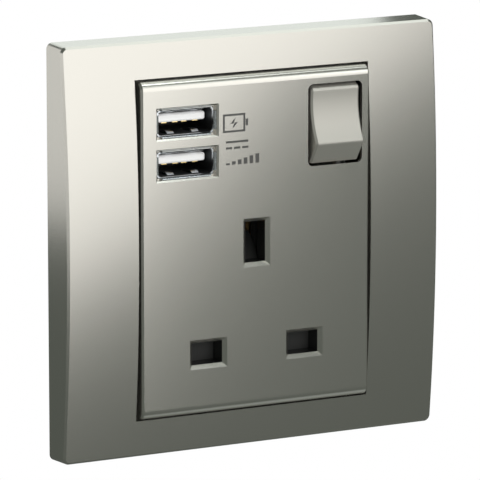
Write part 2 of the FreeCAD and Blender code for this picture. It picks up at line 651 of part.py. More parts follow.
def front_cover():
    """The moulded cover: skirt, pin holes with guides, port holes, rocker window and pillars."""
    body = new_body("front_cover")
    half_width, half_height = s.cover_width / 2, s.cover_height / 2
    roll, tuck = s.cover_roll, s.cover_roll * ROUND
    add(body, "side", -half_width, half_width, path([
        (s.plate_thick, -half_height), (s.plate_thick, half_height), (s.cover_front - roll, half_height),
        (s.cover_front - tuck, half_height - tuck, VIA), (s.cover_front, half_height - roll),
        (s.cover_front, roll - half_height), (s.cover_front - tuck, tuck - half_height, VIA),
        (s.cover_front - roll, -half_height)]))
    bevel(body, s.side_bevel, lambda b: b.XLength < 0.001 and b.YMin < -s.plate_thick.value - 1)
    cut(body, "front", s.plate_thick, cover_inside,
        box(0, 0, s.cover_width - 2 * s.cover_wall, s.cover_height - 2 * s.cover_wall))
    inner_top = half_height - s.cover_wall
    cut(body, "front", s.plate_thick, cover_inside,
        box(s.rocker_side, inner_top, s.opening_width, 2 * s.opening_room))
    collar = 2 * s.slot_collar
    add(body, "front", s.slot_collar_end, cover_inside, *[
        box(side * s.pin_side, -s.pin_drop, hole_wide + collar, hole_thick + collar) for side in (-1, 1)])
    add(body, "front", s.earth_collar_end, cover_inside,
        box(0, 0, hole_thick + collar, earth_hole_tall + collar))
    port_wide = s.shell_width + 2 * s.port_play
    port_tall = s.shell_height + 2 * s.port_play
    collar = 2 * s.port_collar
    add(body, "front", s.port_collar_end, cover_inside,
        box(s.port_side, s.port_rise, port_wide + collar, s.port_pitch + port_tall + collar))
    rib_middle = (s.retainer_low + s.retainer_step) / 2
    rib_long = s.retainer_step - s.retainer_low
    add(body, "front", s.retainer_front, cover_inside, *[
        box(side * guide_middle, rib_middle, s.guide_rib, rib_long) for side in (-1, 1)])
    add(body, "front", s.retainer_front, cover_inside, *[ring(x, z, s.post_radius) for x, z in post_places])
    add(body, "front", s.retainer_front - s.stake_long, s.retainer_front, *[
        ring(x, z, s.stake_radius) for x, z in stake_places + post_places])
    add(body, "front", s.plate_thick, cover_inside, *[ring(x, z, s.pillar_radius) for x, z in screw_places])
    cut(body, "front", s.plate_thick, s.plate_thick + s.screw_bite + s.screw_room, *[
        ring(x, z, screw_hole) for x, z in screw_places])
    cut(body, "front", s.slot_collar_end, s.cover_front, *[
        box(side * s.pin_side, -s.pin_drop, hole_wide, hole_thick) for side in (-1, 1)])
    cut(body, "front", s.slot_collar_end, s.cover_front, box(0, 0, hole_thick, earth_hole_tall))
    bevel(body, s.slot_bevel, lambda b: near(b.YMin, -s.cover_front) and near(b.YMax, -s.cover_front)
          and max(abs(b.XMin), abs(b.XMax)) < (s.pin_side + hole_wide / 2).value + 0.01
          and b.ZMax < earth_hole_tall.value / 2 + 0.01
          and b.ZMin > -(s.pin_drop + hole_thick / 2).value - 0.01)
    cut(body, "front", s.port_collar_end, s.cover_front, *[
        box(s.port_side, rise, port_wide, port_tall) for rise in port_heights.values()])
    bevel(body, s.port_bevel, lambda b: near(b.YMin, -s.cover_front) and near(b.YMax, -s.cover_front)
          and abs(b.Center.x - s.port_side.value) < port_wide.value / 2 + 0.01
          and abs(b.Center.z - s.port_rise.value) < (s.port_pitch + port_tall).value / 2 + 0.01
          and b.XLength < port_wide.value + 0.1 and b.ZLength < port_tall.value + 0.1)
    cut(body, "front", cover_inside, s.cover_front,
        soft_box(s.rocker_side, s.rocker_rise, s.opening_width, s.opening_height, s.opening_corner))
    land = s.cover_front - s.opening_land
    flare = land - cover_inside
    edge = s.opening_height / 2
    cut(body, "side", s.rocker_side - s.opening_width / 2, s.rocker_side + s.opening_width / 2, *[
        path([(land, s.rocker_rise + side * (edge - s.opening_corner)), (land, s.rocker_rise + side * edge),
              (cover_inside, s.rocker_rise + side * (edge + flare)),
              (cover_inside, s.rocker_rise + side * (edge - s.opening_corner))]) for side in (-1, 1)])


def support_plate():
    """The steel plate that takes the fixing screws and holds the frame's catches."""
    body = new_body("support_plate")
    add(body, "front", 0, s.plate_thick, soft_box(0, 0, plate_width, plate_height, s.plate_corner))
    cut(body, "front", 0, s.plate_thick, box(0, 0, s.plate_open_width, s.plate_open_height))
    cut(body, "front", 0, s.plate_thick, *[
        ring(side * s.fixing_pitch / 2, 0, s.fixing_radius) for side in (-1, 1)])
    cut(body, "front", 0, s.plate_thick, *[ring(x, z, screw_hole) for x, z in screw_places])
    lugs = [box(side * (lug_place + s.lug_thick / 2), rise, s.lug_thick, s.lug_width)
            for side in (-1, 1) for rise in (-s.lug_height, s.lug_height)]
    add(body, "front", s.plate_thick, s.lug_reach, *lugs)
    play = s.catch_play
    windows = [box(s.catch_low + s.catch_thick / 2, rise, s.catch_thick + 2 * play, s.catch_width + 2 * play)
               for rise in (-s.lug_height, s.lug_height)]
    reach = lug_place + s.lug_thick
    cut(body, "side", -reach, -lug_place, *windows)
    cut(body, "side", lug_place, reach, *windows)


def rear_housing():
    """The moulded box behind the wall, with screw wells, cable mouths and inner supports."""
    body = new_body("rear_housing")
    wall = s.housing_wall
    top = s.housing_height / 2
    deep_tall = top - s.housing_foot
    deep_middle = (top + s.housing_foot) / 2
    add(body, "front", -s.housing_step, 0,
        soft_box(0, 0, s.housing_width, s.housing_height, s.housing_corner))
    add(body, "front", -s.housing_deep, -s.housing_step,
        soft_box(0, deep_middle, s.housing_width, deep_tall, s.housing_corner))
    bevel(body, s.housing_wall / 2, lambda b: near(b.YMin, s.housing_deep) and near(b.YMax, s.housing_deep))
    add(body, "front", -s.housing_rim_deep, 0,
        soft_box(0, 0, s.housing_width + 2 * s.housing_rim, s.housing_height, s.housing_corner))
    wells = [(x, z, s.housing_deep if z.value > 0 else s.housing_step) for x, z in screw_places]
    for x, z, deep in wells:
        add(body, "front", -deep, 0, ring(x, z, well_radius))
    inner_width = s.housing_width - 2 * wall
    cut(body, "front", wall - s.housing_step, 0, box(0, 0, inner_width, s.housing_height - 2 * wall))
    cut(body, "front", floor_front, wall - s.housing_step,
        box(0, deep_middle, inner_width, deep_tall - 2 * wall))
    for x, z, deep in wells:
        add(body, "front", -deep, 0, ring(x, z, well_radius))
    cut(body, "front", -s.screw_seat, 0, *[ring(x, z, screw_hole) for x, z, deep in wells])
    for x, z, deep in wells:
        cut(body, "front", -deep, -s.screw_seat, ring(x, z, well_hole))
    middle = terminal_low + s.terminal_height / 2
    cut(body, "front", -s.housing_deep, floor_front, *[
        ring(x, middle, s.access_radius) for x in terminal_places.values()])
    cut(body, "top", s.housing_foot, terminal_low, *[
        ring(x, terminal_middle, s.mouth_radius) for x in terminal_places.values()])
    rail_low = s.board_low + s.rail_lift
    left_rail = span(-inner_width / 2, s.board_left + s.rail_inset, rail_low, s.board_top)
    right_rail = span(s.board_right - s.rail_wide, s.board_right, rail_low, s.board_top)
    add(body, "front", floor_front, board_back, left_rail, right_rail)
    add(body, "front", floor_front, terminal_front, box(0, 0, s.earth_strap_width, s.leaf_width))
    post = span(s.pin_side + s.post_inset, s.pin_side + s.leaf_width / 2, s.post_low, s.post_high)
    add(body, "front", floor_front, strap_back, post)


def shutter_retainer():
    """A flat moulding, staked to the cover, that keeps the shutter in its guides."""
    body = new_body("shutter_retainer")
    back = s.retainer_front - s.retainer_thick
    add(body, "front", back, s.retainer_front, path([
        (-s.retainer_half, s.retainer_low), (s.retainer_half, s.retainer_low),
        (s.retainer_half, s.retainer_step), (s.retainer_neck, s.retainer_step),
        (s.retainer_neck, s.retainer_top), (-s.retainer_neck, s.retainer_top),
        (-s.retainer_neck, s.retainer_step), (-s.retainer_half, s.retainer_step)]))
    wider = 2 * s.pin_play
    wedge_low = s.ramp_low - s.ramp_land - s.shutter_travel - s.ramp_play
    cut(body, "front", back, s.retainer_front,
        span(-s.shutter_spine / 2 - s.guide_play, s.shutter_spine / 2 + s.guide_play,
             wedge_low, earth_hole_tall / 2 + s.pin_play), *[
        box(side * s.pin_side, -s.pin_drop, hole_wide + wider, hole_thick + wider) for side in (-1, 1)])
    cut(body, "front", back, s.retainer_front, *[
        ring(x, z, s.stake_radius + s.stake_play) for x, z in stake_places + post_places])


def shutter():
    """The sliding shutter: a bar over the lower holes, a spine and the earth pin's ramp."""
    body = new_body("shutter")
    half_spine = s.shutter_spine / 2
    ramp_foot = s.ramp_low - s.ramp_land
    add(body, "front", shutter_back, s.shutter_front,
        span(-shutter_half, shutter_half, shutter_low, shutter_top))
    add(body, "front", shutter_back, s.shutter_front, span(-half_spine, half_spine, shutter_top, ramp_foot))
    add(body, "side", -half_spine, half_spine, path([
        (s.ramp_front, s.ramp_low), (s.ramp_front - s.ramp_rise, s.ramp_low + s.ramp_rise),
        (s.ramp_front - s.ramp_rise, ramp_foot), (s.ramp_front, ramp_foot)]))
    add(body, "top", shutter_low - s.peg_long, shutter_low, ring(0, spring_front, s.peg_radius))
    bevel(body, s.slot_bevel / 2, lambda b: near(b.YMin, -s.shutter_front) and near(b.YMax, -s.shutter_front)
          and b.XLength > s.shutter_spine.value and near(b.ZMax, shutter_top, 0.1))


def shutter_spring():
    """The spring that lifts the shutter again."""
    gap = s.shutter_spring_wire / 2 + s.spring_play
    body = spring("shutter_spring", s.shutter_spring_radius, s.shutter_spring_wire,
                  s.shutter_spring_turns, spring_floor + gap, shutter_low - gap)
    put(body, 0, spring_front)


def rocker():
    """The switch rocker about its axis, pushed in at the top and out at the bottom."""
    body = new_body("rocker")
    half = s.rocker_width / 2
    add(body, "side", -half, half, path([
        (s.nose_out, s.nose_half), (s.nose_out - s.rocker_sag, 0, VIA), (s.nose_out, -s.nose_half),
        (s.flank_out, -s.flank_half), (s.skirt_out, -s.skirt_half),
        (s.skirt_out, s.skirt_half), (s.flank_out, s.flank_half)]))
    soften(body, s.nose_round, lambda b: near(b.YMin, -s.nose_out) and b.XLength > 5)
    bevel(body, s.side_bevel, lambda b: b.XLength < 0.001 and b.YMin < -s.flank_out.value - 1)
    cavity = s.nose_out - s.rocker_sag - s.rocker_skin
    inner = s.flank_half - 1.5 * s.rocker_wall
    cut(body, "front", s.skirt_out, cavity, box(0, 0, s.rocker_width - 2 * s.rocker_wall, 2 * inner))
    add(body, "front", -s.hub_radius, cavity, box(0, 0, 2 * s.hub_half, 2 * s.hub_radius))
    add(body, "front", -s.boss_end, -s.hub_radius, ring(0, 0, s.boss_radius))
    add(body, "side", -s.trunnion_reach, s.trunnion_reach, ring(0, 0, s.trunnion_radius))
    cut(body, "front", -s.boss_end, s.bore_top, ring(0, 0, s.plunger_radius + s.plunger_bore_play))
    put(body, s.rocker_side, axis_front, s.rocker_rise, -s.rocker_swing / 2)


def rocker_plunger():
    """The blunt plunger that the rocker carries over the switch blade."""
    body = new_body("rocker_plunger")
    r = s.plunger_radius
    tip = -s.plunger_tip
    turn(body, path([
        (-s.plunger_head, 0), (-s.plunger_head, r), (tip + r, r), (tip + r / 4, r * 2 / 3), (tip, 0)]))
    put(body, s.rocker_side, axis_front, s.rocker_rise, -s.rocker_swing / 2)


def plunger_spring():
    """The spring between the rocker and its plunger."""
    gap = s.plunger_spring_wire / 2 + s.spring_play
    body = spring("plunger_spring", s.plunger_spring_radius, s.plunger_spring_wire,
                  s.plunger_spring_turns, gap - s.plunger_head, s.bore_top - gap)
    put(body, s.rocker_side, axis_front, s.rocker_rise, 90 - s.rocker_swing / 2)


def switch_cradle():
    """The moulding that carries the rocker's trunnions and the fixed side of the switch."""
    body = new_body("switch_cradle")
    inner, outer = s.cradle_inner, s.cradle_inner + s.cradle_wall
    ear = s.trunnion_radius + s.cradle_ear
    shoulder = s.cradle_top - s.cradle_shoulder
    profile = path([
        (floor_front, s.cradle_low), (floor_front, s.cradle_top), (web_front, s.cradle_top),
        (web_front, shoulder), (axis_front - ear, s.rocker_rise + 1.5 * ear),
        (axis_front + ear, s.rocker_rise + ear), (axis_front + ear, s.rocker_rise - ear),
        (axis_front - ear, s.rocker_rise - 1.5 * ear), (web_front, s.cradle_low)])
    add(body, "side", inner, outer, profile)
    add(body, "side", -outer, -inner, profile)
    add(body, "front", web_front - s.web_thick, web_front, span(-outer, outer, s.cradle_low, s.cradle_top))
    cut(body, "side", -outer, outer, ring(axis_front, s.rocker_rise, s.trunnion_radius + s.trunnion_play))
    put(body, s.rocker_side)


def switch_blade():
    """The tilting blade, about the line where it rests on its support."""
    body = new_body("switch_blade")
    add(body, "front", 0, s.blade_thick, soft_box(0, 0, s.blade_width, 2 * s.blade_half, s.blade_thick))
    put(body, s.rocker_side, blade_front, s.rocker_rise, half_blade_swing)


def moving_rivet():
    """The contact button on the blade."""
    body = new_body("moving_rivet")
    add(body, "front", -s.contact_thick, 0, ring(0, s.contact_place, s.contact_radius))
    put(body, s.rocker_side, blade_front, s.rocker_rise, half_blade_swing)


def fixed_rivet():
    """The contact button on the live feed."""
    body = new_body("fixed_rivet")
    add(body, "front", strap_back, closed_front, ring(0, s.contact_place, s.contact_radius))
    put(body, s.rocker_side, 0, s.rocker_rise)


def blade_support():
    """The bracket whose rounded tip carries the blade."""
    body = new_body("blade_support")
    half = s.blade_width / 2 - s.blade_inset
    tip = blade_front - s.blade_play
    middle = tip - s.fulcrum_radius
    r = s.fulcrum_radius
    foot = s.cradle_low - s.rocker_rise + s.strap_inset
    add(body, "front", web_front, strap_back, span(-half, half, foot, s.support_reach))
    add(body, "side", -half, half, path([
        (strap_back, -2 * r), (middle, -r), (tip, 0, VIA), (middle, r), (strap_back, 2 * r)]))
    put(body, s.rocker_side, 0, s.rocker_rise)


def jaw_outline(middle, mouth, base):
    """The folded sheet of a pin contact: two leaves that grip the pin, and the base between them."""
    t = s.leaf_thick
    grip = mouth - s.pinch_deep
    straight = grip - s.pinch_deep
    upper = [(mouth, s.mouth_gap), (grip, s.pinch_gap), (straight, s.leaf_gap), (base, s.leaf_gap)]
    outer = [(base - t, s.leaf_gap + t), (straight, s.leaf_gap + t),
             (grip, s.pinch_gap + t), (mouth, s.mouth_gap + t)]
    lower = [(front, -gap) for front, gap in reversed(upper)]
    below = [(front, -gap) for front, gap in reversed(outer)]
    return [(front, middle + gap) for front, gap in upper + lower + below + outer]


def live_contact():
    """The switched contact: pin jaws and the strap up to the blade's support."""
    body = new_body("live_contact")
    half = s.leaf_width / 2
    left, right = s.pin_side - half, s.pin_side + half
    add(body, "side", left, right, path(jaw_outline(-s.pin_drop, s.jaw_mouth, closed_front)))
    strap = s.strap_width
    end_left, end_right = s.rocker_side - strap / 2, s.rocker_side + strap / 2
    turn_low = s.board_low
    add(body, "front", strap_back, closed_front, path([
        (left, -s.pin_drop), (right, -s.pin_drop), (right, turn_low), (end_right, turn_low),
        (end_right, s.rocker_rise - s.strap_lap), (end_left, s.rocker_rise - s.strap_lap),
        (end_left, turn_low + strap), (left, turn_low + strap)]))


def neutral_contact():
    """The neutral contact: pin jaws and a leg down to its terminal."""
    body = new_body("neutral_contact")
    half = s.leaf_width / 2
    left, right = -s.pin_side - half, half - s.pin_side
    t = s.leaf_thick
    leg = terminal_top - s.strap_inset
    add(body, "side", left, right, path(jaw_outline(-s.pin_drop, s.jaw_mouth, closed_front)))
    add(body, "side", left, right, path([
        (closed_front, -s.pin_drop), (closed_front, leg), (terminal_front, leg),
        (terminal_front, -s.pin_drop), (terminal_front + t, -s.pin_drop), (terminal_front + t, leg - t),
        (strap_back, leg - t), (strap_back, -s.pin_drop)]))


def earth_contact():
    """The earth contact, whose leaves grip the sides of the taller earth pin."""
    body = new_body("earth_contact")
    half = s.earth_leaf_width / 2
    base = terminal_front + s.earth_strap_thick + s.leaf_thick
    outline = [(x, front) for front, x in jaw_outline(0, s.earth_jaw_mouth, base)]
    add(body, "top", -half, half, path(outline))


def jaw_clips():
    """Steel clips that press the leaves of the three contacts together."""
    body = new_body("jaw_clips")
    flare = s.clip_wide / 2 * (s.mouth_gap - s.pinch_gap) / s.pinch_deep
    gap = s.pinch_gap + s.leaf_thick + flare + s.clip_play
    inner_wide = s.leaf_width + 2 * s.clip_play
    sheet_both = 2 * s.clip_thick
    for middle_x, middle_z, mouth, wide, tall in (
            (-s.pin_side, -s.pin_drop, s.jaw_mouth, inner_wide, 2 * gap),
            (s.pin_side, -s.pin_drop, s.jaw_mouth, inner_wide, 2 * gap),
            (sized(0), sized(0), s.earth_jaw_mouth, 2 * gap, s.earth_leaf_width + 2 * s.clip_play)):
        grip = mouth - s.pinch_deep
        add(body, "front", grip - s.clip_wide / 2, grip + s.clip_wide / 2,
            box(middle_x, middle_z, wide + sheet_both, tall + sheet_both),
            box(middle_x, middle_z, wide, tall))


def live_feed():
    """The strap from the live terminal up to the fixed switch contact."""
    body = new_body("live_feed")
    t = s.feed_thick
    left = s.pin_side - s.leaf_width / 2
    foot_low = terminal_low + s.strap_inset
    arm_low = s.cradle_top - s.feed_arm
    spine_front = terminal_front + s.feed_spine
    end = s.rocker_side + s.contact_radius + s.strap_inset
    add(body, "front", terminal_front, terminal_front + t,
        span(left, left + s.leaf_width, foot_low, terminal_top))
    add(body, "side", left, left + t, path([
        (terminal_front, foot_low), (terminal_front, s.cradle_top), (strap_back, s.cradle_top),
        (strap_back, arm_low), (spine_front, arm_low), (spine_front, foot_low)]))
    add(body, "front", web_front, strap_back, span(left, end, arm_low, s.cradle_top))


def terminal(name):
    """A brass terminal block with its cable bore and tapped hole."""
    body = new_body(f"{name}_terminal")
    x = terminal_places[name]
    middle = terminal_low + s.terminal_height / 2
    add(body, "front", floor_front, terminal_front, box(x, middle, s.terminal_width, s.terminal_height))
    bevel(body, s.terminal_edge, lambda b: near(b.YMin, -terminal_front) and near(b.YMax, -terminal_front))
    cut(body, "top", terminal_low, terminal_top, ring(x, terminal_middle, s.cable_radius))
    cut(body, "front", floor_front, terminal_middle, ring(x, middle, s.clamp_screw_radius + s.screw_play))


def terminal_screws():
    """The three clamping screws, backed off."""
    body = new_body("terminal_screws")
    middle = terminal_low + s.terminal_height / 2
    head_back = floor_front - s.clamp_head_high
    tip = terminal_middle - s.cable_radius
    places = terminal_places.values()
    add(body, "front", head_back, floor_front, *[ring(x, middle, s.clamp_head_radius) for x in places])
    add(body, "front", floor_front, tip, *[ring(x, middle, s.clamp_screw_radius) for x in places])


def earth_strap():
    """The strip from the earth contact down to its terminal."""
    body = new_body("earth_strap")
    half = s.earth_strap_width / 2
    add(body, "front", terminal_front, terminal_front + s.earth_strap_thick,
        span(-half, half, terminal_low + s.strap_inset, s.earth_leaf_width / 2))


def usb_shell(name):
    """The folded sheet shell of a USB port, with notched corners and spring fingers."""
    body = new_body(f"usb_shell_{name}")
    t = s.shell_sheet
    half_wide, half_tall = s.shell_width / 2, s.shell_height / 2
    add(body, "front", board_front, shell_front, box(0, 0, s.shell_width, s.shell_height))
    cut(body, "front", board_front, shell_front, box(0, 0, s.shell_width - 2 * t, s.shell_height - 2 * t))
    notch = s.shell_notch
    cut(body, "front", shell_front - notch, shell_front, *[
        box(across * half_wide, along * half_tall, 2 * notch, 2 * notch)
        for across in (-1, 1) for along in (-1, 1)])
    fingers = (-s.finger_place, s.finger_place)
    finger_end = shell_front - s.finger_tip
    finger_root = finger_end - s.finger_long
    cut(body, "top", -half_tall, half_tall, *[
        box(x, finger_end - s.finger_long / 2, s.finger_width + 2 * s.finger_play, s.finger_long)
        for x in fingers])
    tip = finger_end - s.shell_sheet
    bend = tip - s.finger_long / 4
    skin = half_tall - t
    sunk, lip = skin - s.finger_sink, skin - s.finger_lip
    for x in fingers:
        for side in (-1, 1):
            add(body, "side", x - s.finger_width / 2, x + s.finger_width / 2, path([
                (finger_root, side * skin), (bend, side * sunk), (tip, side * lip),
                (tip, side * (lip + t)), (bend, side * (sunk + t)), (finger_root, side * (skin + t))]))
    put(body, s.port_side, 0, port_heights[name])


def usb_tongue(name):
    """The plastic tongue of a USB port and the block that carries it."""
    body = new_body(f"usb_tongue_{name}")
    play = 2 * (s.shell_sheet + s.tongue_play)
    root_front = board_front + s.tongue_root
    add(body, "front", board_front, root_front,
        box(0, 0, s.shell_width - play, s.shell_height - play))
    add(body, "front", root_front, shell_front - s.tongue_recess,
        box(0, s.tongue_lift, s.tongue_width, s.tongue_thick))
    bevel(body, s.tongue_thick / 6, lambda b: near(b.YMin, s.tongue_recess - shell_front))
    put(body, s.port_side, 0, port_heights[name])


def usb_contacts():
    """Four flat contacts under each tongue."""
    body = new_body("usb_contacts")
    t = s.shell_sheet
    low = board_front + s.tongue_root
    for rise in port_heights.values():
        under = rise + s.tongue_lift - s.tongue_thick / 2
        add(body, "front", low, shell_front - s.tongue_recess - s.strip_inset, *[
            box(s.port_side + side * place, under - t / 2, s.strip_width, t)
            for side in (-1, 1) for place in (s.strip_inner, s.strip_outer)])


def usb_board():
    """The charger's circuit board, parallel to the wall."""
    body = new_body("usb_board")
    add(body, "front", board_back, board_front, span(s.board_left, s.board_right, s.board_low, s.board_top))


def transformer_core():
    """The two-window ferrite core of the charger's transformer."""
    body = new_body("transformer_core")
    front = board_back - s.winding_wall - s.winding_play
    add(body, "front", front - s.core_deep, front, box(s.core_side, s.core_rise, s.core_width, s.core_height))
    offset = (s.core_limb + core_window) / 2
    cut(body, "front", front - s.core_deep, front, *[
        box(s.core_side + side * offset, s.core_rise, core_window, s.core_height - 2 * s.core_limb)
        for side in (-1, 1)])


def transformer_winding():
    """The taped winding round the core's middle limb, which stands on the board."""
    body = new_body("transformer_winding")
    play = s.winding_play
    inner = s.core_limb + 2 * play
    outer = s.core_limb + 2 * core_window - 2 * play
    deep = s.core_deep + 2 * play
    middle = board_back - s.winding_wall - deep / 2
    half_tall = s.core_height / 2 - s.core_limb - play
    add(body, "top", s.core_rise - half_tall, s.core_rise + half_tall,
        box(s.core_side, middle, outer, deep + 2 * s.winding_wall), box(s.core_side, middle, inner, deep))


def capacitors():
    """Two round smoothing capacitors that stand on the board."""
    body = new_body("capacitors")
    upper = s.board_top - s.capacitor_radius - s.capacitor_inset
    rises = (upper, upper - 2 * s.capacitor_radius - s.capacitor_gap)
    add(body, "front", board_back - s.capacitor_long, board_back, *[
        ring(s.capacitor_side, rise, s.capacitor_radius) for rise in rises])


def rectifier_chip():
    """The small flat rectifier beside the capacitors."""
    body = new_body("rectifier_chip")
    add(body, "front", board_back - s.board_thick, board_back,
        box(s.capacitor_side, s.board_low + s.chip_lift, s.chip_width, s.chip_height))


def usb_feed_straps():
    """Two strips that bring the supply from the contacts to the board."""
    body = new_body("usb_feed_straps")
    t = s.strap_thick
    low = closed_front
    board_edge = s.board_low + s.feed_strip
    left = -s.pin_side - s.feed_strip / 2
    start = s.leaf_gap + s.leaf_thick + s.feed_play - s.pin_drop
    add(body, "side", left, left + s.feed_strip, path([
        (low, start), (low, board_edge), (board_back, board_edge),
        (board_back, board_edge - t), (low + t, board_edge - t), (low + t, start)]))
    left_end = s.board_right - s.feed_inset
    right_end = s.pin_side - s.leaf_width / 2 + s.feed_lap
    add(body, "top", s.board_low + s.feed_lift, board_edge, path([
        (right_end, low), (left_end, low), (left_end, board_back), (left_end + t, board_back),
        (left_end + t, low + t), (right_end, low + t)]))


def assembly_screws():
    """Three identical screws that pull the housing and the plate to the cover."""
    body = new_body("assembly_screws")
    back = -s.screw_seat - s.screw_head_high
    tip = s.plate_thick + s.screw_bite
    add(body, "front", back, -s.screw_seat, *[ring(x, z, s.screw_head_radius) for x, z in screw_places])
    add(body, "front", -s.screw_seat, tip, *[ring(x, z, s.screw_radius) for x, z in screw_places])


surround_frame()
front_cover()
support_plate()
rear_housing()
shutter_retainer()
shutter()
shutter_spring()
rocker()
rocker_plunger()
plunger_spring()
switch_cradle()
switch_blade()
moving_rivet()
fixed_rivet()
blade_support()
live_contact()
neutral_contact()
earth_contact()
jaw_clips()
live_feed()
for terminal_name in terminal_places:
    terminal(terminal_name)
terminal_screws()
earth_strap()
for port_name in port_heights:
    usb_shell(port_name)
    usb_tongue(port_name)
usb_contacts()
usb_board()
transformer_core()
transformer_winding()
capacitors()
rectifier_chip()
usb_feed_straps()
assembly_screws()
doc.recompute()

for item in doc.Objects:
    if "Invalid" in item.State or "Error" in item.State:
        raise RuntimeError(f"{item.Label} could not be made: {item.State}")
for body in bodies:
    if body.Shape.isNull() or not body.Shape.isValid() or not body.Shape.Solids:
        raise RuntimeError(f"{body.Label} has no sound solid")

os.makedirs("parts", exist_ok=True)
for body in bodies:
    body.Shape.exportStep(os.path.join("parts", f"{body.Label}.step"))
    print(f"{body.Label}: {len(body.Shape.Solids)} solid(s), {body.Shape.Volume:.1f} mm3")
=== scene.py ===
"""The looks of a single switched wall socket with two USB charging ports."""

import math

import bmesh
import bpy
from mathutils import Matrix, Vector


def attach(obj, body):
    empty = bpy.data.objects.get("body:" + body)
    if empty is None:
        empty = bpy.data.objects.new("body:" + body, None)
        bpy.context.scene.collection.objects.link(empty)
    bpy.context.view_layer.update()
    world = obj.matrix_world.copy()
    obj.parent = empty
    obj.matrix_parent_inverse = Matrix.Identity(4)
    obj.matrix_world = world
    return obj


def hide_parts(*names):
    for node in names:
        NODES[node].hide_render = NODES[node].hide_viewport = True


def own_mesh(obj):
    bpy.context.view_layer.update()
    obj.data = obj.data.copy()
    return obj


bl_info = {
    "name": "USB Wall Socket",
    "version": (1, 0, 0),
    "blender": (4, 5, 0),
    "location": "View3D > Sidebar > Socket",
    "description": "Dresses a switched wall socket: paint, metal, port shells, print, screws and studio",
    "category": "Object",
}

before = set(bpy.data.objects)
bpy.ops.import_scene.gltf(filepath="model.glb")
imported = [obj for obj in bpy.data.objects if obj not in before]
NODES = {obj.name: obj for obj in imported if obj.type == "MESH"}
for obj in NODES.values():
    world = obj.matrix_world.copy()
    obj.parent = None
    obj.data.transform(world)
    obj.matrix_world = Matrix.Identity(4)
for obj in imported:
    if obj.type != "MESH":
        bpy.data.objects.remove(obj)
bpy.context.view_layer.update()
MM = 0.001

# Places in millimetres: in front of the wall, across the socket and above its middle
COVER_FRONT = 8.9
PORT_ACROSS = -15.8
PORT_HEIGHTS = {"usb_shell_upper": 26.0, "usb_shell_lower": 17.5}

# Distances in metres below which corners are joined: in a whole piece, on a line of turning and at a cut
WELD = 1e-7
AXIS_WELD = 1e-8
CUT_WELD = 1e-9

# Edges that bend by less than this look round.
SOFT_ANGLE = math.radians(32)


# Materials

def tree_of(name):
    """A new material with its node tree, its surface shader and its object coordinates."""
    material = bpy.data.materials.new(name)
    material.use_nodes = True
    tree = material.node_tree
    shader = tree.nodes["Principled BSDF"]
    place = tree.nodes.new("ShaderNodeTexCoord").outputs["Object"]
    return material, tree, shader, place


def feed(tree, socket, value):
    """Sets a socket to a number or a colour, or links it to the output of a node."""
    if isinstance(value, bpy.types.NodeSocket):
        tree.links.new(value, socket)
    elif isinstance(value, (int, float)):
        socket.default_value = value
    else:
        socket.default_value = (*value, 1)


def noise(tree, place, size, detail=2.0, stretch=None):
    """Noise whose grains are about that many millimetres across."""
    if stretch:
        mapping = tree.nodes.new("ShaderNodeMapping")
        mapping.inputs["Scale"].default_value = stretch
        tree.links.new(place, mapping.inputs["Vector"])
        place = mapping.outputs["Vector"]
    texture = tree.nodes.new("ShaderNodeTexNoise")
    texture.inputs["Scale"].default_value = 1 / (size * MM)
    texture.inputs["Detail"].default_value = detail
    tree.links.new(place, texture.inputs["Vector"])
    return texture.outputs["Fac"]


def spread(tree, value, low, high):
    """Maps the middle half of a noise onto the range from low to high."""
    node = tree.nodes.new("ShaderNodeMapRange")
    node.inputs["From Min"].default_value = 0.25
    node.inputs["From Max"].default_value = 0.75
    node.inputs["To Min"].default_value = low
    node.inputs["To Max"].default_value = high
    tree.links.new(value, node.inputs["Value"])
    return node.outputs["Result"]


def tint(tree, value, first, second):
    """Mixes two colours by a value. Each is a colour or the output of a node."""
    node = tree.nodes.new("ShaderNodeMix")
    node.data_type = "RGBA"
    tree.links.new(value, node.inputs["Factor"])
    feed(tree, node.inputs["A"], first)
    feed(tree, node.inputs["B"], second)
    return node.outputs["Result"]


def relief(tree, shader, value, height):
    """Bumps the surface by that many millimetres."""
    node = tree.nodes.new("ShaderNodeBump")
    node.inputs["Strength"].default_value = 1
    node.inputs["Distance"].default_value = height * MM
    tree.links.new(value, node.inputs["Height"])
    tree.links.new(node.outputs["Normal"], shader.inputs["Normal"])


def shaded(colour, share):
    """A colour made lighter or darker by a share of itself."""
    return tuple(min(1.0, part * (1 + share)) for part in colour)


def reckon(tree, kind, *values):
    """A calculation with values that are numbers or outputs of nodes."""
    node = tree.nodes.new("ShaderNodeMath")
    node.operation = kind
    for socket, value in zip(node.inputs, values):
        feed(tree, socket, value)
    return node.outputs[0]


def parted(tree):
    """The three object coordinates of a material, by their letters."""
    parts = tree.nodes.new("ShaderNodeSeparateXYZ")
    tree.links.new(tree.nodes["Texture Coordinate"].outputs["Object"], parts.inputs[0])
    return parts.outputs


def within(tree, parts, middle, half):
    """1 inside an upright rectangle given by its middle and half its width and height, and 0 outside."""
    sides = []
    for axis, centre, reach in zip("XZ", middle, half):
        away = reckon(tree, "ABSOLUTE", reckon(tree, "SUBTRACT", parts[axis], centre * MM))
        sides.append(reckon(tree, "LESS_THAN", away, reach * MM))
    return reckon(tree, "MULTIPLY", *sides)


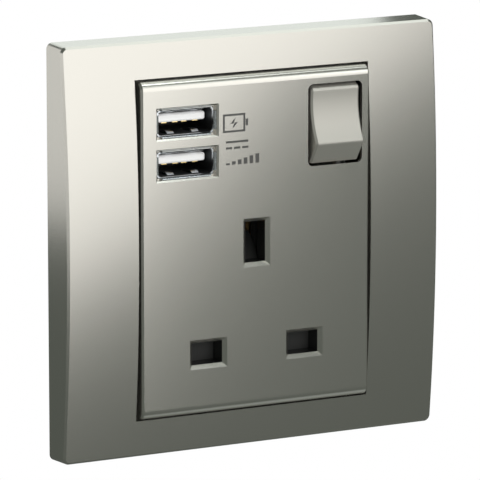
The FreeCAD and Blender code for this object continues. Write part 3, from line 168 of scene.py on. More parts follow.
def metallic_paint(name, colour, metal, roughness):
    """Satin metallic lacquer: fine flakes, faint clouds and a slight orange peel."""
    material, tree, shader, place = tree_of(name)
    shader.inputs["Metallic"].default_value = metal
    flakes = noise(tree, place, 0.16, 3)
    clouds = reckon(tree, "MULTIPLY", noise(tree, place, 9.0, 2), 0.2)
    mixed = reckon(tree, "MULTIPLY_ADD", flakes, 0.8, clouds)
    base = tint(tree, spread(tree, mixed, 0, 1), shaded(colour, -0.015), shaded(colour, 0.015))
    tree.links.new(base, shader.inputs["Base Color"])
    tree.links.new(spread(tree, flakes, roughness - 0.01, roughness + 0.01), shader.inputs["Roughness"])
    relief(tree, shader, noise(tree, place, 0.9, 1), 0.0002)
    return material


def moulded_plastic(name, colour, roughness, grain=0.25, depth=0.004):
    """Moulded thermoplastic with a fine spark-eroded grain and faint flow marks."""
    material, tree, shader, place = tree_of(name)
    flow = noise(tree, place, 14.0, 2, (1, 1, 0.35))
    base = tint(tree, spread(tree, flow, 0, 1), shaded(colour, -0.035), shaded(colour, 0.03))
    tree.links.new(base, shader.inputs["Base Color"])
    grains = noise(tree, place, grain, 2)
    tree.links.new(spread(tree, grains, roughness - 0.05, roughness + 0.06), shader.inputs["Roughness"])
    shader.inputs["IOR"].default_value = 1.5
    relief(tree, shader, grains, depth)
    return material


def rolled_metal(name, colour, roughness, stretch, depth=0.0015):
    """Rolled or drawn metal: streaks along the sheet and small stains."""
    material, tree, shader, place = tree_of(name)
    shader.inputs["Metallic"].default_value = 1
    streaks = noise(tree, place, 0.35, 3, stretch)
    stains = noise(tree, place, 4.0, 3)
    base = tint(tree, spread(tree, stains, 0, 1), shaded(colour, -0.10), shaded(colour, 0.05))
    tree.links.new(base, shader.inputs["Base Color"])
    tree.links.new(spread(tree, streaks, roughness - 0.07, roughness + 0.10), shader.inputs["Roughness"])
    relief(tree, shader, streaks, depth)
    return material


def solder_mask(name, colour):
    """Green laminate with faint tracks under its lacquer."""
    material, tree, shader, place = tree_of(name)
    tracks = tree.nodes.new("ShaderNodeTexBrick")
    tracks.inputs["Scale"].default_value = 260
    tracks.inputs["Color1"].default_value = (*shaded(colour, 0.25), 1)
    tracks.inputs["Color2"].default_value = (*colour, 1)
    tracks.inputs["Mortar"].default_value = (*shaded(colour, -0.35), 1)
    tracks.inputs["Mortar Size"].default_value = 0.03
    upright = tree.nodes.new("ShaderNodeMapping")
    upright.inputs["Rotation"].default_value = (math.radians(90), 0, 0)
    tree.links.new(place, upright.inputs["Vector"])
    tree.links.new(upright.outputs["Vector"], tracks.inputs["Vector"])
    tree.links.new(tracks.outputs["Color"], shader.inputs["Base Color"])
    shader.inputs["Roughness"].default_value = 0.3
    relief(tree, shader, tracks.outputs["Fac"], 0.03)
    return material


def wound_tape(name, colour):
    """Glossy tape over the turns of a winding."""
    material, tree, shader, place = tree_of(name)
    turns = tree.nodes.new("ShaderNodeTexWave")
    turns.bands_direction = "Z"
    turns.inputs["Scale"].default_value = 600
    turns.inputs["Distortion"].default_value = 0.6
    tree.links.new(place, turns.inputs["Vector"])
    base = tint(tree, turns.outputs["Fac"], shaded(colour, -0.12), colour)
    tree.links.new(base, shader.inputs["Base Color"])
    shader.inputs["Roughness"].default_value = 0.32
    relief(tree, shader, turns.outputs["Fac"], 0.03)
    return material


def wear(node, material):
    """Gives a CAD node its material."""
    slots = NODES[node].data.materials
    for number in range(len(slots)):
        slots[number] = material
    if not len(slots):
        slots.append(material)


# New pieces

def finished(mesh, name, material, body, replaced=()):
    """Turns a bmesh into a piece of the socket that rides on a body."""
    bmesh.ops.remove_doubles(mesh, verts=mesh.verts, dist=WELD)
    bmesh.ops.recalc_face_normals(mesh, faces=mesh.faces)
    for face in mesh.faces:
        face.smooth = True
    for edge in mesh.edges:
        edge.smooth = edge.calc_face_angle(math.pi) < SOFT_ANGLE
    data = bpy.data.meshes.new(name)
    mesh.to_mesh(data)
    mesh.free()
    piece = bpy.data.objects.new(name, data)
    bpy.context.scene.collection.objects.link(piece)
    data.materials.append(material)
    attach(piece, body)
    if replaced:
        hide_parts(*replaced)
    return piece


def point(across, front, height):
    """A point in metres from millimetres across, in front of the wall and above the middle."""
    return Vector((across, -front, height)) * MM


def turned(mesh, profile, across, height, steps):
    """Spins a profile of (radius, front) points about the line at (across, height). Returns its faces."""
    first = [mesh.verts.new(point(across + radius, front, height)) for radius, front in profile]
    edges = [mesh.edges.new(pair) for pair in zip(first, first[1:])]
    before = set(mesh.faces)
    bmesh.ops.spin(mesh, geom=first + edges, cent=point(across, 0, height), axis=(0, 1, 0), dvec=(0, 0, 0),
                   angle=math.tau, steps=steps, use_merge=True, use_duplicate=False)
    made = [face for face in mesh.faces if face not in before]
    corners = {corner for face in made for corner in face.verts}
    bmesh.ops.remove_doubles(mesh, verts=list(corners), dist=AXIS_WELD)
    return [face for face in mesh.faces if face not in before]


def halved(mesh, faces, place, direction):
    """Cuts a closed part of a mesh by a plane, keeps the side that the direction points to and closes it."""
    geometry = set(faces)
    for face in faces:
        geometry.update(face.edges)
        geometry.update(face.verts)
    cut = bmesh.ops.bisect_plane(mesh, geom=list(geometry), dist=CUT_WELD, plane_co=place,
                                 plane_no=direction, clear_inner=True, clear_outer=False)
    rim = [item for item in cut["geom_cut"] if isinstance(item, bmesh.types.BMEdge)]
    closed = bmesh.ops.holes_fill(mesh, edges=rim, sides=0)["faces"]
    left = [item for item in cut["geom"] if isinstance(item, bmesh.types.BMFace) and item.is_valid]
    return left + closed


def thickened(mesh, faces, depth):
    """Turns flat faces into a solid that reaches that many millimetres further to the front."""
    raised = bmesh.ops.extrude_face_region(mesh, geom=faces)["geom"]
    corners = [item for item in raised if isinstance(item, bmesh.types.BMVert)]
    bmesh.ops.translate(mesh, verts=corners, vec=point(0, depth, 0))


def plate(mesh, outline, back, front):
    """Adds a flat plate from an outline of (across, height) points."""
    corners = [mesh.verts.new(point(across, back, height)) for across, height in outline]
    thickened(mesh, [mesh.faces.new(corners)], front - back)


# Settings

class SocketPaint(bpy.types.PropertyGroup):
    """The lacquer of the shell and the print on it"""
    lacquer: bpy.props.FloatVectorProperty(
        name="Lacquer", description="Colour of the frame, the cover and the rocker",
        subtype="COLOR", size=3, default=(0.595, 0.58, 0.54), min=0, max=1)
    lacquer_metal: bpy.props.FloatProperty(
        name="Metal in the lacquer", description="How metallic the lacquer is",
        subtype="FACTOR", default=0.92, min=0, max=1)
    lacquer_roughness: bpy.props.FloatProperty(
        name="Lacquer roughness", description="Roughness of the satin lacquer",
        subtype="FACTOR", default=0.26, min=0.05, max=1)
    print_colour: bpy.props.FloatVectorProperty(
        name="Print", description="Colour of the printed marks beside the ports",
        subtype="COLOR", size=3, default=(0.11, 0.11, 0.105), min=0, max=1)


class SocketSizes(bpy.types.PropertyGroup):
    """Sizes of the pieces that the operators make"""
    print_thick: bpy.props.FloatProperty(
        name="Print thickness", description="How far the printed marks stand on the cover",
        unit="LENGTH", default=0.02 * MM, min=0.005 * MM, max=0.1 * MM)
    shell_lip: bpy.props.FloatProperty(
        name="Shell lip", description="How far the lips of the port shells flare out",
        unit="LENGTH", default=0.36 * MM, min=0, max=0.38 * MM)
    screw_slot: bpy.props.FloatProperty(
        name="Screw slot", description="Width of the slots across the screw heads",
        unit="LENGTH", default=0.8 * MM, min=0.3 * MM, max=1.2 * MM)


class SocketStudio(bpy.types.PropertyGroup):
    """Where the camera stands and what it aims at"""
    azimuth: bpy.props.FloatProperty(
        name="Azimuth", description="Camera's direction to the left of straight ahead",
        subtype="ANGLE", default=math.radians(27.61))
    elevation: bpy.props.FloatProperty(
        name="Elevation", description="Camera's height angle",
        subtype="ANGLE", default=math.radians(11.14))
    distance: bpy.props.FloatProperty(
        name="Distance", description="Camera's distance from the socket's middle",
        unit="LENGTH", default=958.28 * MM, min=0.1)
    aim_right: bpy.props.FloatProperty(
        name="Aim right", description="How far the camera aims to the right of the middle",
        unit="LENGTH", default=0.67 * MM)
    aim_up: bpy.props.FloatProperty(
        name="Aim up", description="How far the camera aims above the middle",
        unit="LENGTH", default=-1.11 * MM)
    lens: bpy.props.FloatProperty(
        name="Lens", description="Focal length in millimetres on a 36 mm sensor",
        default=348.744, min=20, max=800)


def settings():
    """The groups for the paint, the sizes and the studio."""
    scene = bpy.context.scene
    return scene.socket_paint, scene.socket_sizes, scene.socket_studio


# Operators

class SOCKET_OT_lacquer(bpy.types.Operator):
    """Lacquer the frame, the cover and the rocker"""
    bl_idname = "socket.lacquer"
    bl_label = "Frame, cover and rocker"

    # How much lighter and how much rougher each node is than the paint's own settings. The lighter tones are
    # painted light: the cover and the rocker carry the frame's lacquer, made brighter to stand in for how
    # light falls on them.
    PAINTED_LIGHT_AND_ROUGHNESS = {"surround_frame": (0, 0), "front_cover": (0.07, -0.03), "rocker": (0.03, 0.32)}

    # Inside the cover's rim, painted shade takes the place of the lacquer behind this distance in front of
    # the wall, and deeper round the ports.
    SHADE_BEGINS = 8.05
    PORTS_DEEPER = 1.1

    # Half the width and height of the two fields, and the near black colour of the painted shade.
    COVER_HALF = (25.4, 33.9)
    PORTS_HALF = (8.0, 8.5)
    PAINTED_SHADE = (0.02, 0.021, 0.02)

    def execute(self, context):
        paint = settings()[0]
        for node, (lighter, rougher) in self.PAINTED_LIGHT_AND_ROUGHNESS.items():
            # Each node gets the same lacquer, lightened by its share of painted light.
            material = metallic_paint(f"lacquer_{node}", shaded(tuple(paint.lacquer), lighter),
                                      paint.lacquer_metal, paint.lacquer_roughness + rougher)
            if node == "front_cover":
                # The cover's inner faces get painted shade.
                self.painted_shade_inside(material.node_tree, paint.lacquer_metal)
            wear(node, material)
        return {"FINISHED"}

    def painted_shade_inside(self, tree, metal):
        """Paints shade on the inner faces of the cover: near black and not metallic, where the holes and
        openings lie in shade.
        """
        shader = tree.nodes["Principled BSDF"]
        parts = parted(tree)
        ports_middle = (PORT_ACROSS, sum(PORT_HEIGHTS.values()) / len(PORT_HEIGHTS))
        deeper = reckon(tree, "MULTIPLY", within(tree, parts, ports_middle, self.PORTS_HALF),
                        self.PORTS_DEEPER * MM)
        end = reckon(tree, "ADD", deeper, -self.SHADE_BEGINS * MM)
        inside = reckon(tree, "MULTIPLY", reckon(tree, "GREATER_THAN", parts["Y"], end),
                        within(tree, parts, (0, 0), self.COVER_HALF))
        lacquered = shader.inputs["Base Color"].links[0].from_socket
        # Painted shade: near black and not metallic inside the mask.
        tree.links.new(tint(tree, inside, lacquered, self.PAINTED_SHADE), shader.inputs["Base Color"])
        tree.links.new(reckon(tree, "MULTIPLY_ADD", inside, -metal, metal), shader.inputs["Metallic"])


class SOCKET_OT_mouldings(bpy.types.Operator):
    """Finish the plastic mouldings inside and behind the socket"""
    bl_idname = "socket.mouldings"
    bl_label = "Inner mouldings"

    # Where the tongue's tip begins and its root ends in front of the wall, the tip's painted glow, and the
    # root's near black colour, which is painted shade.
    TIP_BACK = 4.5
    ROOT_FRONT = -2.8
    PAINTED_GLOW = 0.3
    ROOT_PAINTED_SHADE = (0.02, 0.02, 0.021)

    def execute(self, context):
        white = moulded_plastic("housing_white", (0.80, 0.80, 0.77), 0.52, 0.3, 0.006)
        wear("rear_housing", white)
        wear("shutter_retainer", moulded_plastic("retainer_dark", (0.035, 0.036, 0.035), 0.55))
        wear("switch_cradle", moulded_plastic("cradle_white", (0.74, 0.74, 0.71), 0.5))
        wear("shutter", moulded_plastic("shutter_dark", (0.022, 0.023, 0.022), 0.6))
        wear("rocker_plunger", moulded_plastic("plunger_white", (0.80, 0.80, 0.76), 0.28))
        tongue = moulded_plastic("tongue_white", (0.92, 0.92, 0.92), 0.3, 0.2, 0.002)
        # The tongue gets a painted glow at its tip and painted shade at its root.
        self.painted_glow_and_shade(tongue.node_tree)
        for node in ("usb_tongue_upper", "usb_tongue_lower"):
            wear(node, tongue)
        return {"FINISHED"}

    def painted_glow_and_shade(self, tree):
        """Paints a glow on the tongue's tip, though it is no lamp, and paints shade on the block at its root.
        """
        shader = tree.nodes["Principled BSDF"]
        depth = parted(tree)["Y"]
        tip = reckon(tree, "LESS_THAN", depth, -self.TIP_BACK * MM)
        # Painted glow: the tip emits light.
        tree.links.new(tint(tree, tip, (0, 0, 0), (1, 1, 1)), shader.inputs["Emission Color"])
        shader.inputs["Emission Strength"].default_value = self.PAINTED_GLOW
        root = reckon(tree, "GREATER_THAN", depth, -self.ROOT_FRONT * MM)
        pale = shader.inputs["Base Color"].links[0].from_socket
        # Painted shade: the root block is near black.
        tree.links.new(tint(tree, root, pale, self.ROOT_PAINTED_SHADE), shader.inputs["Base Color"])


class SOCKET_OT_metalwork(bpy.types.Operator):
    """Finish the plate, the contacts, the terminals and the springs"""
    bl_idname = "socket.metalwork"
    bl_label = "Metalwork"

    def execute(self, context):
        wear("support_plate", rolled_metal("zinc_plate", (0.60, 0.61, 0.61), 0.42, (1, 1, 0.08)))
        brass = rolled_metal("rolled_brass", (0.74, 0.53, 0.24), 0.33, (1, 1, 0.1))
        for node in ("switch_blade", "blade_support", "live_contact", "neutral_contact",
                     "earth_contact", "live_feed", "earth_strap", "usb_feed_straps"):
            wear(node, brass)
        machined = rolled_metal("machined_brass", (0.78, 0.58, 0.27), 0.28, (1, 0.1, 1))
        for node in ("live_terminal", "neutral_terminal", "earth_terminal"):
            wear(node, machined)
        silver = rolled_metal("contact_silver", (0.84, 0.83, 0.80), 0.22, (1, 1, 1))
        for node in ("moving_rivet", "fixed_rivet"):
            wear(node, silver)
        wear("jaw_clips", rolled_metal("clip_steel", (0.55, 0.55, 0.55), 0.3, (1, 1, 0.2)))
        wear("usb_contacts", rolled_metal("gold_plate", (0.95, 0.74, 0.36), 0.2, (1, 0.2, 1)))
        return {"FINISHED"}


class SOCKET_OT_springs(bpy.types.Operator):
    """Wind the springs of the shutter and the plunger from round wire, with closed ends"""
    bl_idname = "socket.springs"
    bl_label = "Springs"

    AROUND = 20
    WIRE_SIDES = 10

    # The pitch of the closed turns, as a share of the wire.
    CLOSED_PITCH = 1.1

    # Radius to the wire's middle, the wire, the turns and the length between the middles of the ends.
    SHUTTER_SPRING = (1.1, 0.3, 6, 7.64)
    PLUNGER_SPRING = (0.9, 0.26, 7, 5.18)

    # Where the shutter's spring starts, and how far behind the rocker's axis the plunger's does.
    SHUTTER_START = (0, 2.9, -33.02)
    PLUNGER_DEPTH = 0.84

    # The middle of the rocker's axis, and the rocker's lean at rest.
    ROCKER_AXIS = (18.155, 1.3, 23.17)
    ROCKER_LEAN = math.radians(12)

    def execute(self, context):
        wire = rolled_metal("drawn_wire", (0.55, 0.55, 0.55), 0.3, (1, 1, 0.2))
        mesh = self.wound(*self.SHUTTER_SPRING)
        bmesh.ops.translate(mesh, verts=mesh.verts, vec=point(*self.SHUTTER_START))
        piece = finished(mesh, "wound_shutter_spring", wire, "socket", ["shutter_spring"])
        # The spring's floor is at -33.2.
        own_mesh(piece)
        mesh = self.wound(*self.PLUNGER_SPRING)
        lean = self.ROCKER_LEAN
        behind = Vector((0, math.cos(lean), -math.sin(lean))) * (self.PLUNGER_DEPTH * MM)
        place = Matrix.Translation(point(*self.ROCKER_AXIS) + behind)
        turn = Matrix.Rotation(math.radians(90) - lean, 4, "X")
        bmesh.ops.transform(mesh, verts=mesh.verts, matrix=place @ turn)
        finished(mesh, "wound_plunger_spring", wire, "rocker", ["plunger_spring"])
        return {"FINISHED"}

    def wound(self, radius, wire, turns, length):
        """A spring along Z that starts at the origin."""
        mesh = bmesh.new()
        angles = [math.tau * side / self.WIRE_SIDES for side in range(self.WIRE_SIDES)]
        section = [(radius + wire / 2 * math.cos(angle), 0, wire / 2 * math.sin(angle)) for angle in angles]
        ring = [mesh.verts.new(Vector(corner) * MM) for corner in section]
        edges = [mesh.edges.new(pair) for pair in zip(ring, ring[1:] + ring[:1])]
        closed_pitch = wire * self.CLOSED_PITCH
        open_pitch = (length - 2 * closed_pitch) / (turns - 2)
        last = ring + edges
        for count, pitch in ((1, closed_pitch), (turns - 2, open_pitch), (1, closed_pitch)):
            climb = (0, 0, pitch * MM / self.AROUND)
            spun = bmesh.ops.spin(mesh, geom=last, cent=(0, 0, 0), axis=(0, 0, 1), dvec=climb,
                                  angle=math.tau * count, steps=count * self.AROUND,
                                  use_merge=False, use_duplicate=False)
            last = spun["geom_last"]
        mesh.faces.new(ring)
        end = [item for item in last if isinstance(item, bmesh.types.BMEdge)]
        bmesh.ops.contextual_create(mesh, geom=end)
        return mesh


class SOCKET_OT_charger(bpy.types.Operator):
    """Finish the charger's board and what stands on it"""
    bl_idname = "socket.charger"
    bl_label = "Charger"

    def execute(self, context):
        wear("usb_board", solder_mask("board_green", (0.03, 0.17, 0.07)))
        wear("transformer_core", moulded_plastic("ferrite_dark", (0.06, 0.06, 0.065), 0.6, 0.15, 0.01))
        wear("transformer_winding", wound_tape("winding_yellow", (0.78, 0.55, 0.08)))
        wear("capacitors", moulded_plastic("sleeve_black", (0.03, 0.03, 0.04), 0.3, 0.6, 0.002))
        wear("rectifier_chip", moulded_plastic("chip_black", (0.025, 0.025, 0.025), 0.5, 0.1, 0.004))
        return {"FINISHED"}


class SOCKET_OT_ports(bpy.types.Operator):
    """Fold the sheet shells of the two ports, with flared lips and sprung fingers"""
    bl_idname = "socket.ports"
    bl_label = "Port shells"

    # The shell from its back to its front edge, and half its width and height outside.
    BACK, FRONT = -5.9, 8.4
    HALF_WIDE, HALF_TALL = 6.36, 2.66
    SHEET = 0.3
    SEAM = 0.05
    CORNER = 0.6
    CORNER_STEPS = 5

    # How far behind the front edge the lips begin, and how far from the port's middle they end.
    NOTCH = 0.65
    LIP_WIDE, LIP_TALL = 5.55, 1.85
    LIP_STEPS = 6
    LIP_CURVE = 1.6

    # The windows and the fingers in them lie this far from the port's middle, on both sides of it.
    WINDOW = (1.85, 3.75)
    FINGER = (2.05, 3.55)
    WINDOW_BACK, WINDOW_FRONT = 1.9, 6.9

    # A finger is deepest at half its bend. Past this share of its length its tip rises again.
    FINGER_END = 6.6
    FINGER_STEPS = 9
    FINGER_DEPTH = 0.55
    FINGER_CURVE = 1.5
    TIP_START = 0.775
    TIP_RISE = 0.4
    TIP_CURVE = 1.4

    # Half the width and height of an opening, the back and front of its ledge, and the play inside it.
    OPENING = (6.74, 3.04)
    LEDGE = (7.4, 7.74)
    PLAY = 0.03

    # Two lengths in millimetres that differ by less than this are the same.
    SAME = 1e-6

    def execute(self, context):
        paint, sizes = settings()[:2]
        flare = sizes.shell_lip / MM
        steel = rolled_metal("tinned_steel", (0.62, 0.65, 0.68), 0.2, (1, 0.12, 1), 0.0006)
        # Near black steel for the shells' inner walls: painted shade in the deep cavities.
        shade_steel = rolled_metal("painted_shade_steel", (0.07, 0.075, 0.08), 0.5, (1, 0.12, 1), 0.0006)
        for node, height in PORT_HEIGHTS.items():
            mesh = bmesh.new()
            self.shell(mesh, height, flare)
            bmesh.ops.remove_doubles(mesh, verts=mesh.verts, dist=WELD)
            bmesh.ops.recalc_face_normals(mesh, faces=mesh.faces)
            bmesh.ops.solidify(mesh, geom=mesh.faces[:], thickness=self.SHEET * MM)
            self.shade_shell_inside(mesh, height)
            name = node.replace("usb_shell", "folded_shell")
            piece = finished(mesh, name, steel, "socket", [node])
            # The second slot holds the painted shade of the inner walls.
            piece.data.materials.append(shade_steel)
        mesh = bmesh.new()
        for height in PORT_HEIGHTS.values():
            self.ledge(mesh, height)
        lacquer = metallic_paint("lacquer_ledges", tuple(paint.lacquer), paint.lacquer_metal,
                                 paint.lacquer_roughness)
        finished(mesh, "port_ledges", lacquer, "socket")
        return {"FINISHED"}

    def outline(self):
        """Points round the outer side of the shell as (across, height)."""
        breaks = sorted({side * value for value in (*self.WINDOW, *self.FINGER, self.LIP_WIDE, self.SEAM)
                         for side in (-1, 1)})
        flat_wide = self.HALF_WIDE - self.CORNER
        flat_tall = self.HALF_TALL - self.CORNER
        points = []

        def corner(across, height, start):
            for step in range(self.CORNER_STEPS + 1):
                angle = math.radians(start + 90 * step / self.CORNER_STEPS)
                points.append((across + self.CORNER * math.cos(angle),
                               height + self.CORNER * math.sin(angle)))

        points += [(across, -self.HALF_TALL) for across in breaks]
        corner(flat_wide, -flat_tall, -90)
        points += [(self.HALF_WIDE, height) for height in (-self.LIP_TALL, self.LIP_TALL)]
        corner(flat_wide, flat_tall, 0)
        points += [(across, self.HALF_TALL) for across in reversed(breaks)]
        corner(-flat_wide, flat_tall, 90)
        points += [(-self.HALF_WIDE, height) for height in (self.LIP_TALL, -self.LIP_TALL)]
        corner(-flat_wide, -flat_tall, 180)
        return points

    def shell(self, mesh, rise, flare):
        """The outer side of the sheet, before it gets its thickness."""
        points = self.outline()
        rows = [self.BACK, self.WINDOW_BACK, self.WINDOW_FRONT, self.FRONT - self.NOTCH]
        grid = [[mesh.verts.new(point(PORT_ACROSS + across, front, rise + height))
                 for across, height in points] for front in rows]
        count = len(points)
        for number in range(count):
            after = (number + 1) % count
            across = (points[number][0] + points[after][0]) / 2
            height = (points[number][1] + points[after][1]) / 2
            level = abs(abs(height) - self.HALF_TALL) < self.SAME
            upright = abs(abs(across) - self.HALF_WIDE) < self.SAME
            in_window = level and self.WINDOW[0] < abs(across) < self.WINDOW[1]
            for back, front in zip(grid, grid[1:]):
                if not (in_window and back is grid[1]):
                    mesh.faces.new((back[number], back[after], front[after], front[number]))
            if in_window and self.FINGER[0] < abs(across) < self.FINGER[1]:
                self.finger(mesh, grid[1][number], grid[1][after], -1 if height > 0 else 1)
            edge = (grid[-1][number], grid[-1][after])
            seam = level and height < 0 and abs(across) < self.SEAM
            if level and abs(across) < self.LIP_WIDE and not seam:
                self.lip(mesh, edge, Vector((0, 0, math.copysign(1, height))), flare)
            if upright and abs(height) < self.LIP_TALL:
                self.lip(mesh, edge, Vector((math.copysign(1, across), 0, 0)), flare)

    def finger(self, mesh, first, second, inward):
        """A sprung strip that bends into the port and out again at its tip."""
        before = (first, second)
        for step in range(1, self.FINGER_STEPS + 1):
            share = step / self.FINGER_STEPS
            front = self.WINDOW_BACK + (self.FINGER_END - self.WINDOW_BACK) * share
            bow = math.sin(math.pi * min(1, share / (2 * self.TIP_START)))
            bend = self.FINGER_DEPTH * bow ** self.FINGER_CURVE
            if share > self.TIP_START:
                bend -= self.TIP_RISE * ((share - self.TIP_START) / (1 - self.TIP_START)) ** self.TIP_CURVE
            pair = tuple(mesh.verts.new(Vector((corner.co.x, -front * MM, corner.co.z + inward * bend * MM)))
                         for corner in (first, second))
            mesh.faces.new((before[0], before[1], pair[1], pair[0]))
            before = pair

    def lip(self, mesh, edge, outward, flare):
        """A stretch of a flared lip in front of a wall."""
        before = edge
        for step in range(1, self.LIP_STEPS + 1):
            share = step / self.LIP_STEPS
            away = outward * (flare * MM * share ** self.LIP_CURVE) + point(0, self.NOTCH * share, 0)
            pair = tuple(mesh.verts.new(corner.co + away) for corner in edge)
            mesh.faces.new((before[0], before[1], pair[1], pair[0]))
            before = pair

    def shade_shell_inside(self, mesh, rise):
        """Gives the walls round the cavity the second material, a near black steel that is painted shade, but
        not the sprung fingers and the lips.
        """
        for face in mesh.faces:
            middle = face.calc_center_median() / MM
            across, height, front = abs(middle.x - PORT_ACROSS), abs(middle.z - rise), -middle.y
            inner = across < self.HALF_WIDE - self.SHEET / 2 and height < self.HALF_TALL - self.SHEET / 2
            finger = self.WINDOW[0] < across < self.WINDOW[1] and self.WINDOW_BACK < front < self.WINDOW_FRONT
            if inner and not finger and front < self.FRONT - self.NOTCH:
                face.material_index = 1

    def ledge(self, mesh, rise):
        """A closed ring that fills the space between the opening and the shell, behind the lips."""
        back, front = self.LEDGE
        loops = []
        for wide, tall in (self.OPENING, (self.HALF_WIDE + self.PLAY, self.HALF_TALL + self.PLAY)):
            loops.append([mesh.verts.new(point(PORT_ACROSS + side * wide, back, rise + level * tall))
                          for side, level in ((-1, -1), (1, -1), (1, 1), (-1, 1))])
        outer, inner = loops
        faces = [mesh.faces.new((outer[number - 1], outer[number], inner[number], inner[number - 1]))
                 for number in range(4)]
        thickened(mesh, faces, front - back)


class SOCKET_OT_screws(bpy.types.Operator):
    """Turn the terminal screws and the assembly screws, with threads and driver slots"""
    bl_idname = "socket.screws"
    bl_label = "Screws"

    STEPS = 40
    SLOT_TURN = math.radians(24)

    # The core of a thread, as a share of its radius.
    CORE = 0.87

    # How deep the slots reach, as a share of a head, and the seam between a head's disc and its dome.
    SLOT_DEPTH = 0.55
    SEAM = 0.03

    # Where the screws stand, as (across, height).
    TERMINALS = ((-11.1, -19.9), (0.0, -19.9), (11.1, -19.9))
    ASSEMBLY = ((-21.0, -31.6), (21.0, -31.6), (4.5, 31.6))

    def execute(self, context):
        steel = rolled_metal("zinc_screw", (0.66, 0.66, 0.64), 0.3, (1, 1, 1), 0.002)
        ridges = self.thread(radius=1.7, start=-22.85, stop=-21.55, pitch=0.45)
        shank = [(0, -21.35), (1.2, -21.35), (1.48, -21.5), *ridges, (1.48, -22.95), (0, -22.95)]
        mesh = bmesh.new()
        for across, height in self.TERMINALS:
            self.head(mesh, across, height, back=-24.3, seat=-22.9, radius=2.7, slots=1)
            turned(mesh, shank, across, height, self.STEPS)
        finished(mesh, "slotted_terminal_screws", steel, "socket", ["terminal_screws"])
        ridges = self.thread(radius=1.25, start=-2.0, stop=4.6, pitch=0.8)
        shank = [(0, 5.5), (0.35, 5.45), (1.05, 4.7), *ridges, (1.05, -2.1), (1.05, -9.65), (0, -9.65)]
        mesh = bmesh.new()
        for across, height in self.ASSEMBLY:
            self.head(mesh, across, height, back=-10.9, seat=-9.6, radius=2.0, slots=2)
            turned(mesh, shank, across, height, self.STEPS)
        finished(mesh, "cross_assembly_screws", steel, "socket", ["assembly_screws"])
        return {"FINISHED"}

    def thread(self, radius, start, stop, pitch):
        """The ridges of a thread between two front positions, from the foremost back, as (radius, front)."""
        core = radius * self.CORE
        count = max(2, int((stop - start) / pitch))
        pitch = (stop - start) / count
        ridges = []
        for number in range(count):
            low = start + pitch * number
            ridges += [(core, low + pitch * 0.05), (radius, low + pitch * 0.5), (radius, low + pitch * 0.6)]
        return [(core, stop), *reversed(ridges)]

    def head(self, mesh, across, height, back, seat, radius, slots):
        """A domed head whose top is parted by one straight slot or by two crossed ones."""
        reach = settings()[1].screw_slot / 2
        floor = back + (seat - back) * self.SLOT_DEPTH
        foot = floor + self.SEAM
        rim = radius - 0.25
        disc = [(0, seat), (radius - 0.05, seat), (radius, seat - 0.05), (radius, floor), (0, floor)]
        turned(mesh, disc, across, height, self.STEPS)
        dome = [(0, foot), (radius, foot), (radius, back + 0.35), (rim + 0.12, back + 0.16),
                (rim - 0.2, back + 0.06), (rim * 0.5, back + 0.015), (0, back)]
        middle = point(across, 0, height)
        pieces = 2 * slots
        for number in range(pieces):
            faces = turned(mesh, dome, across, height, self.STEPS)
            angle = math.tau * number / pieces + self.SLOT_TURN
            directions = [Vector((math.cos(angle), 0, math.sin(angle)))]
            if slots == 2:
                directions.append(Vector((-math.sin(angle), 0, math.cos(angle))))
            for direction in directions:
                faces = halved(mesh, faces, middle + direction * reach, direction)


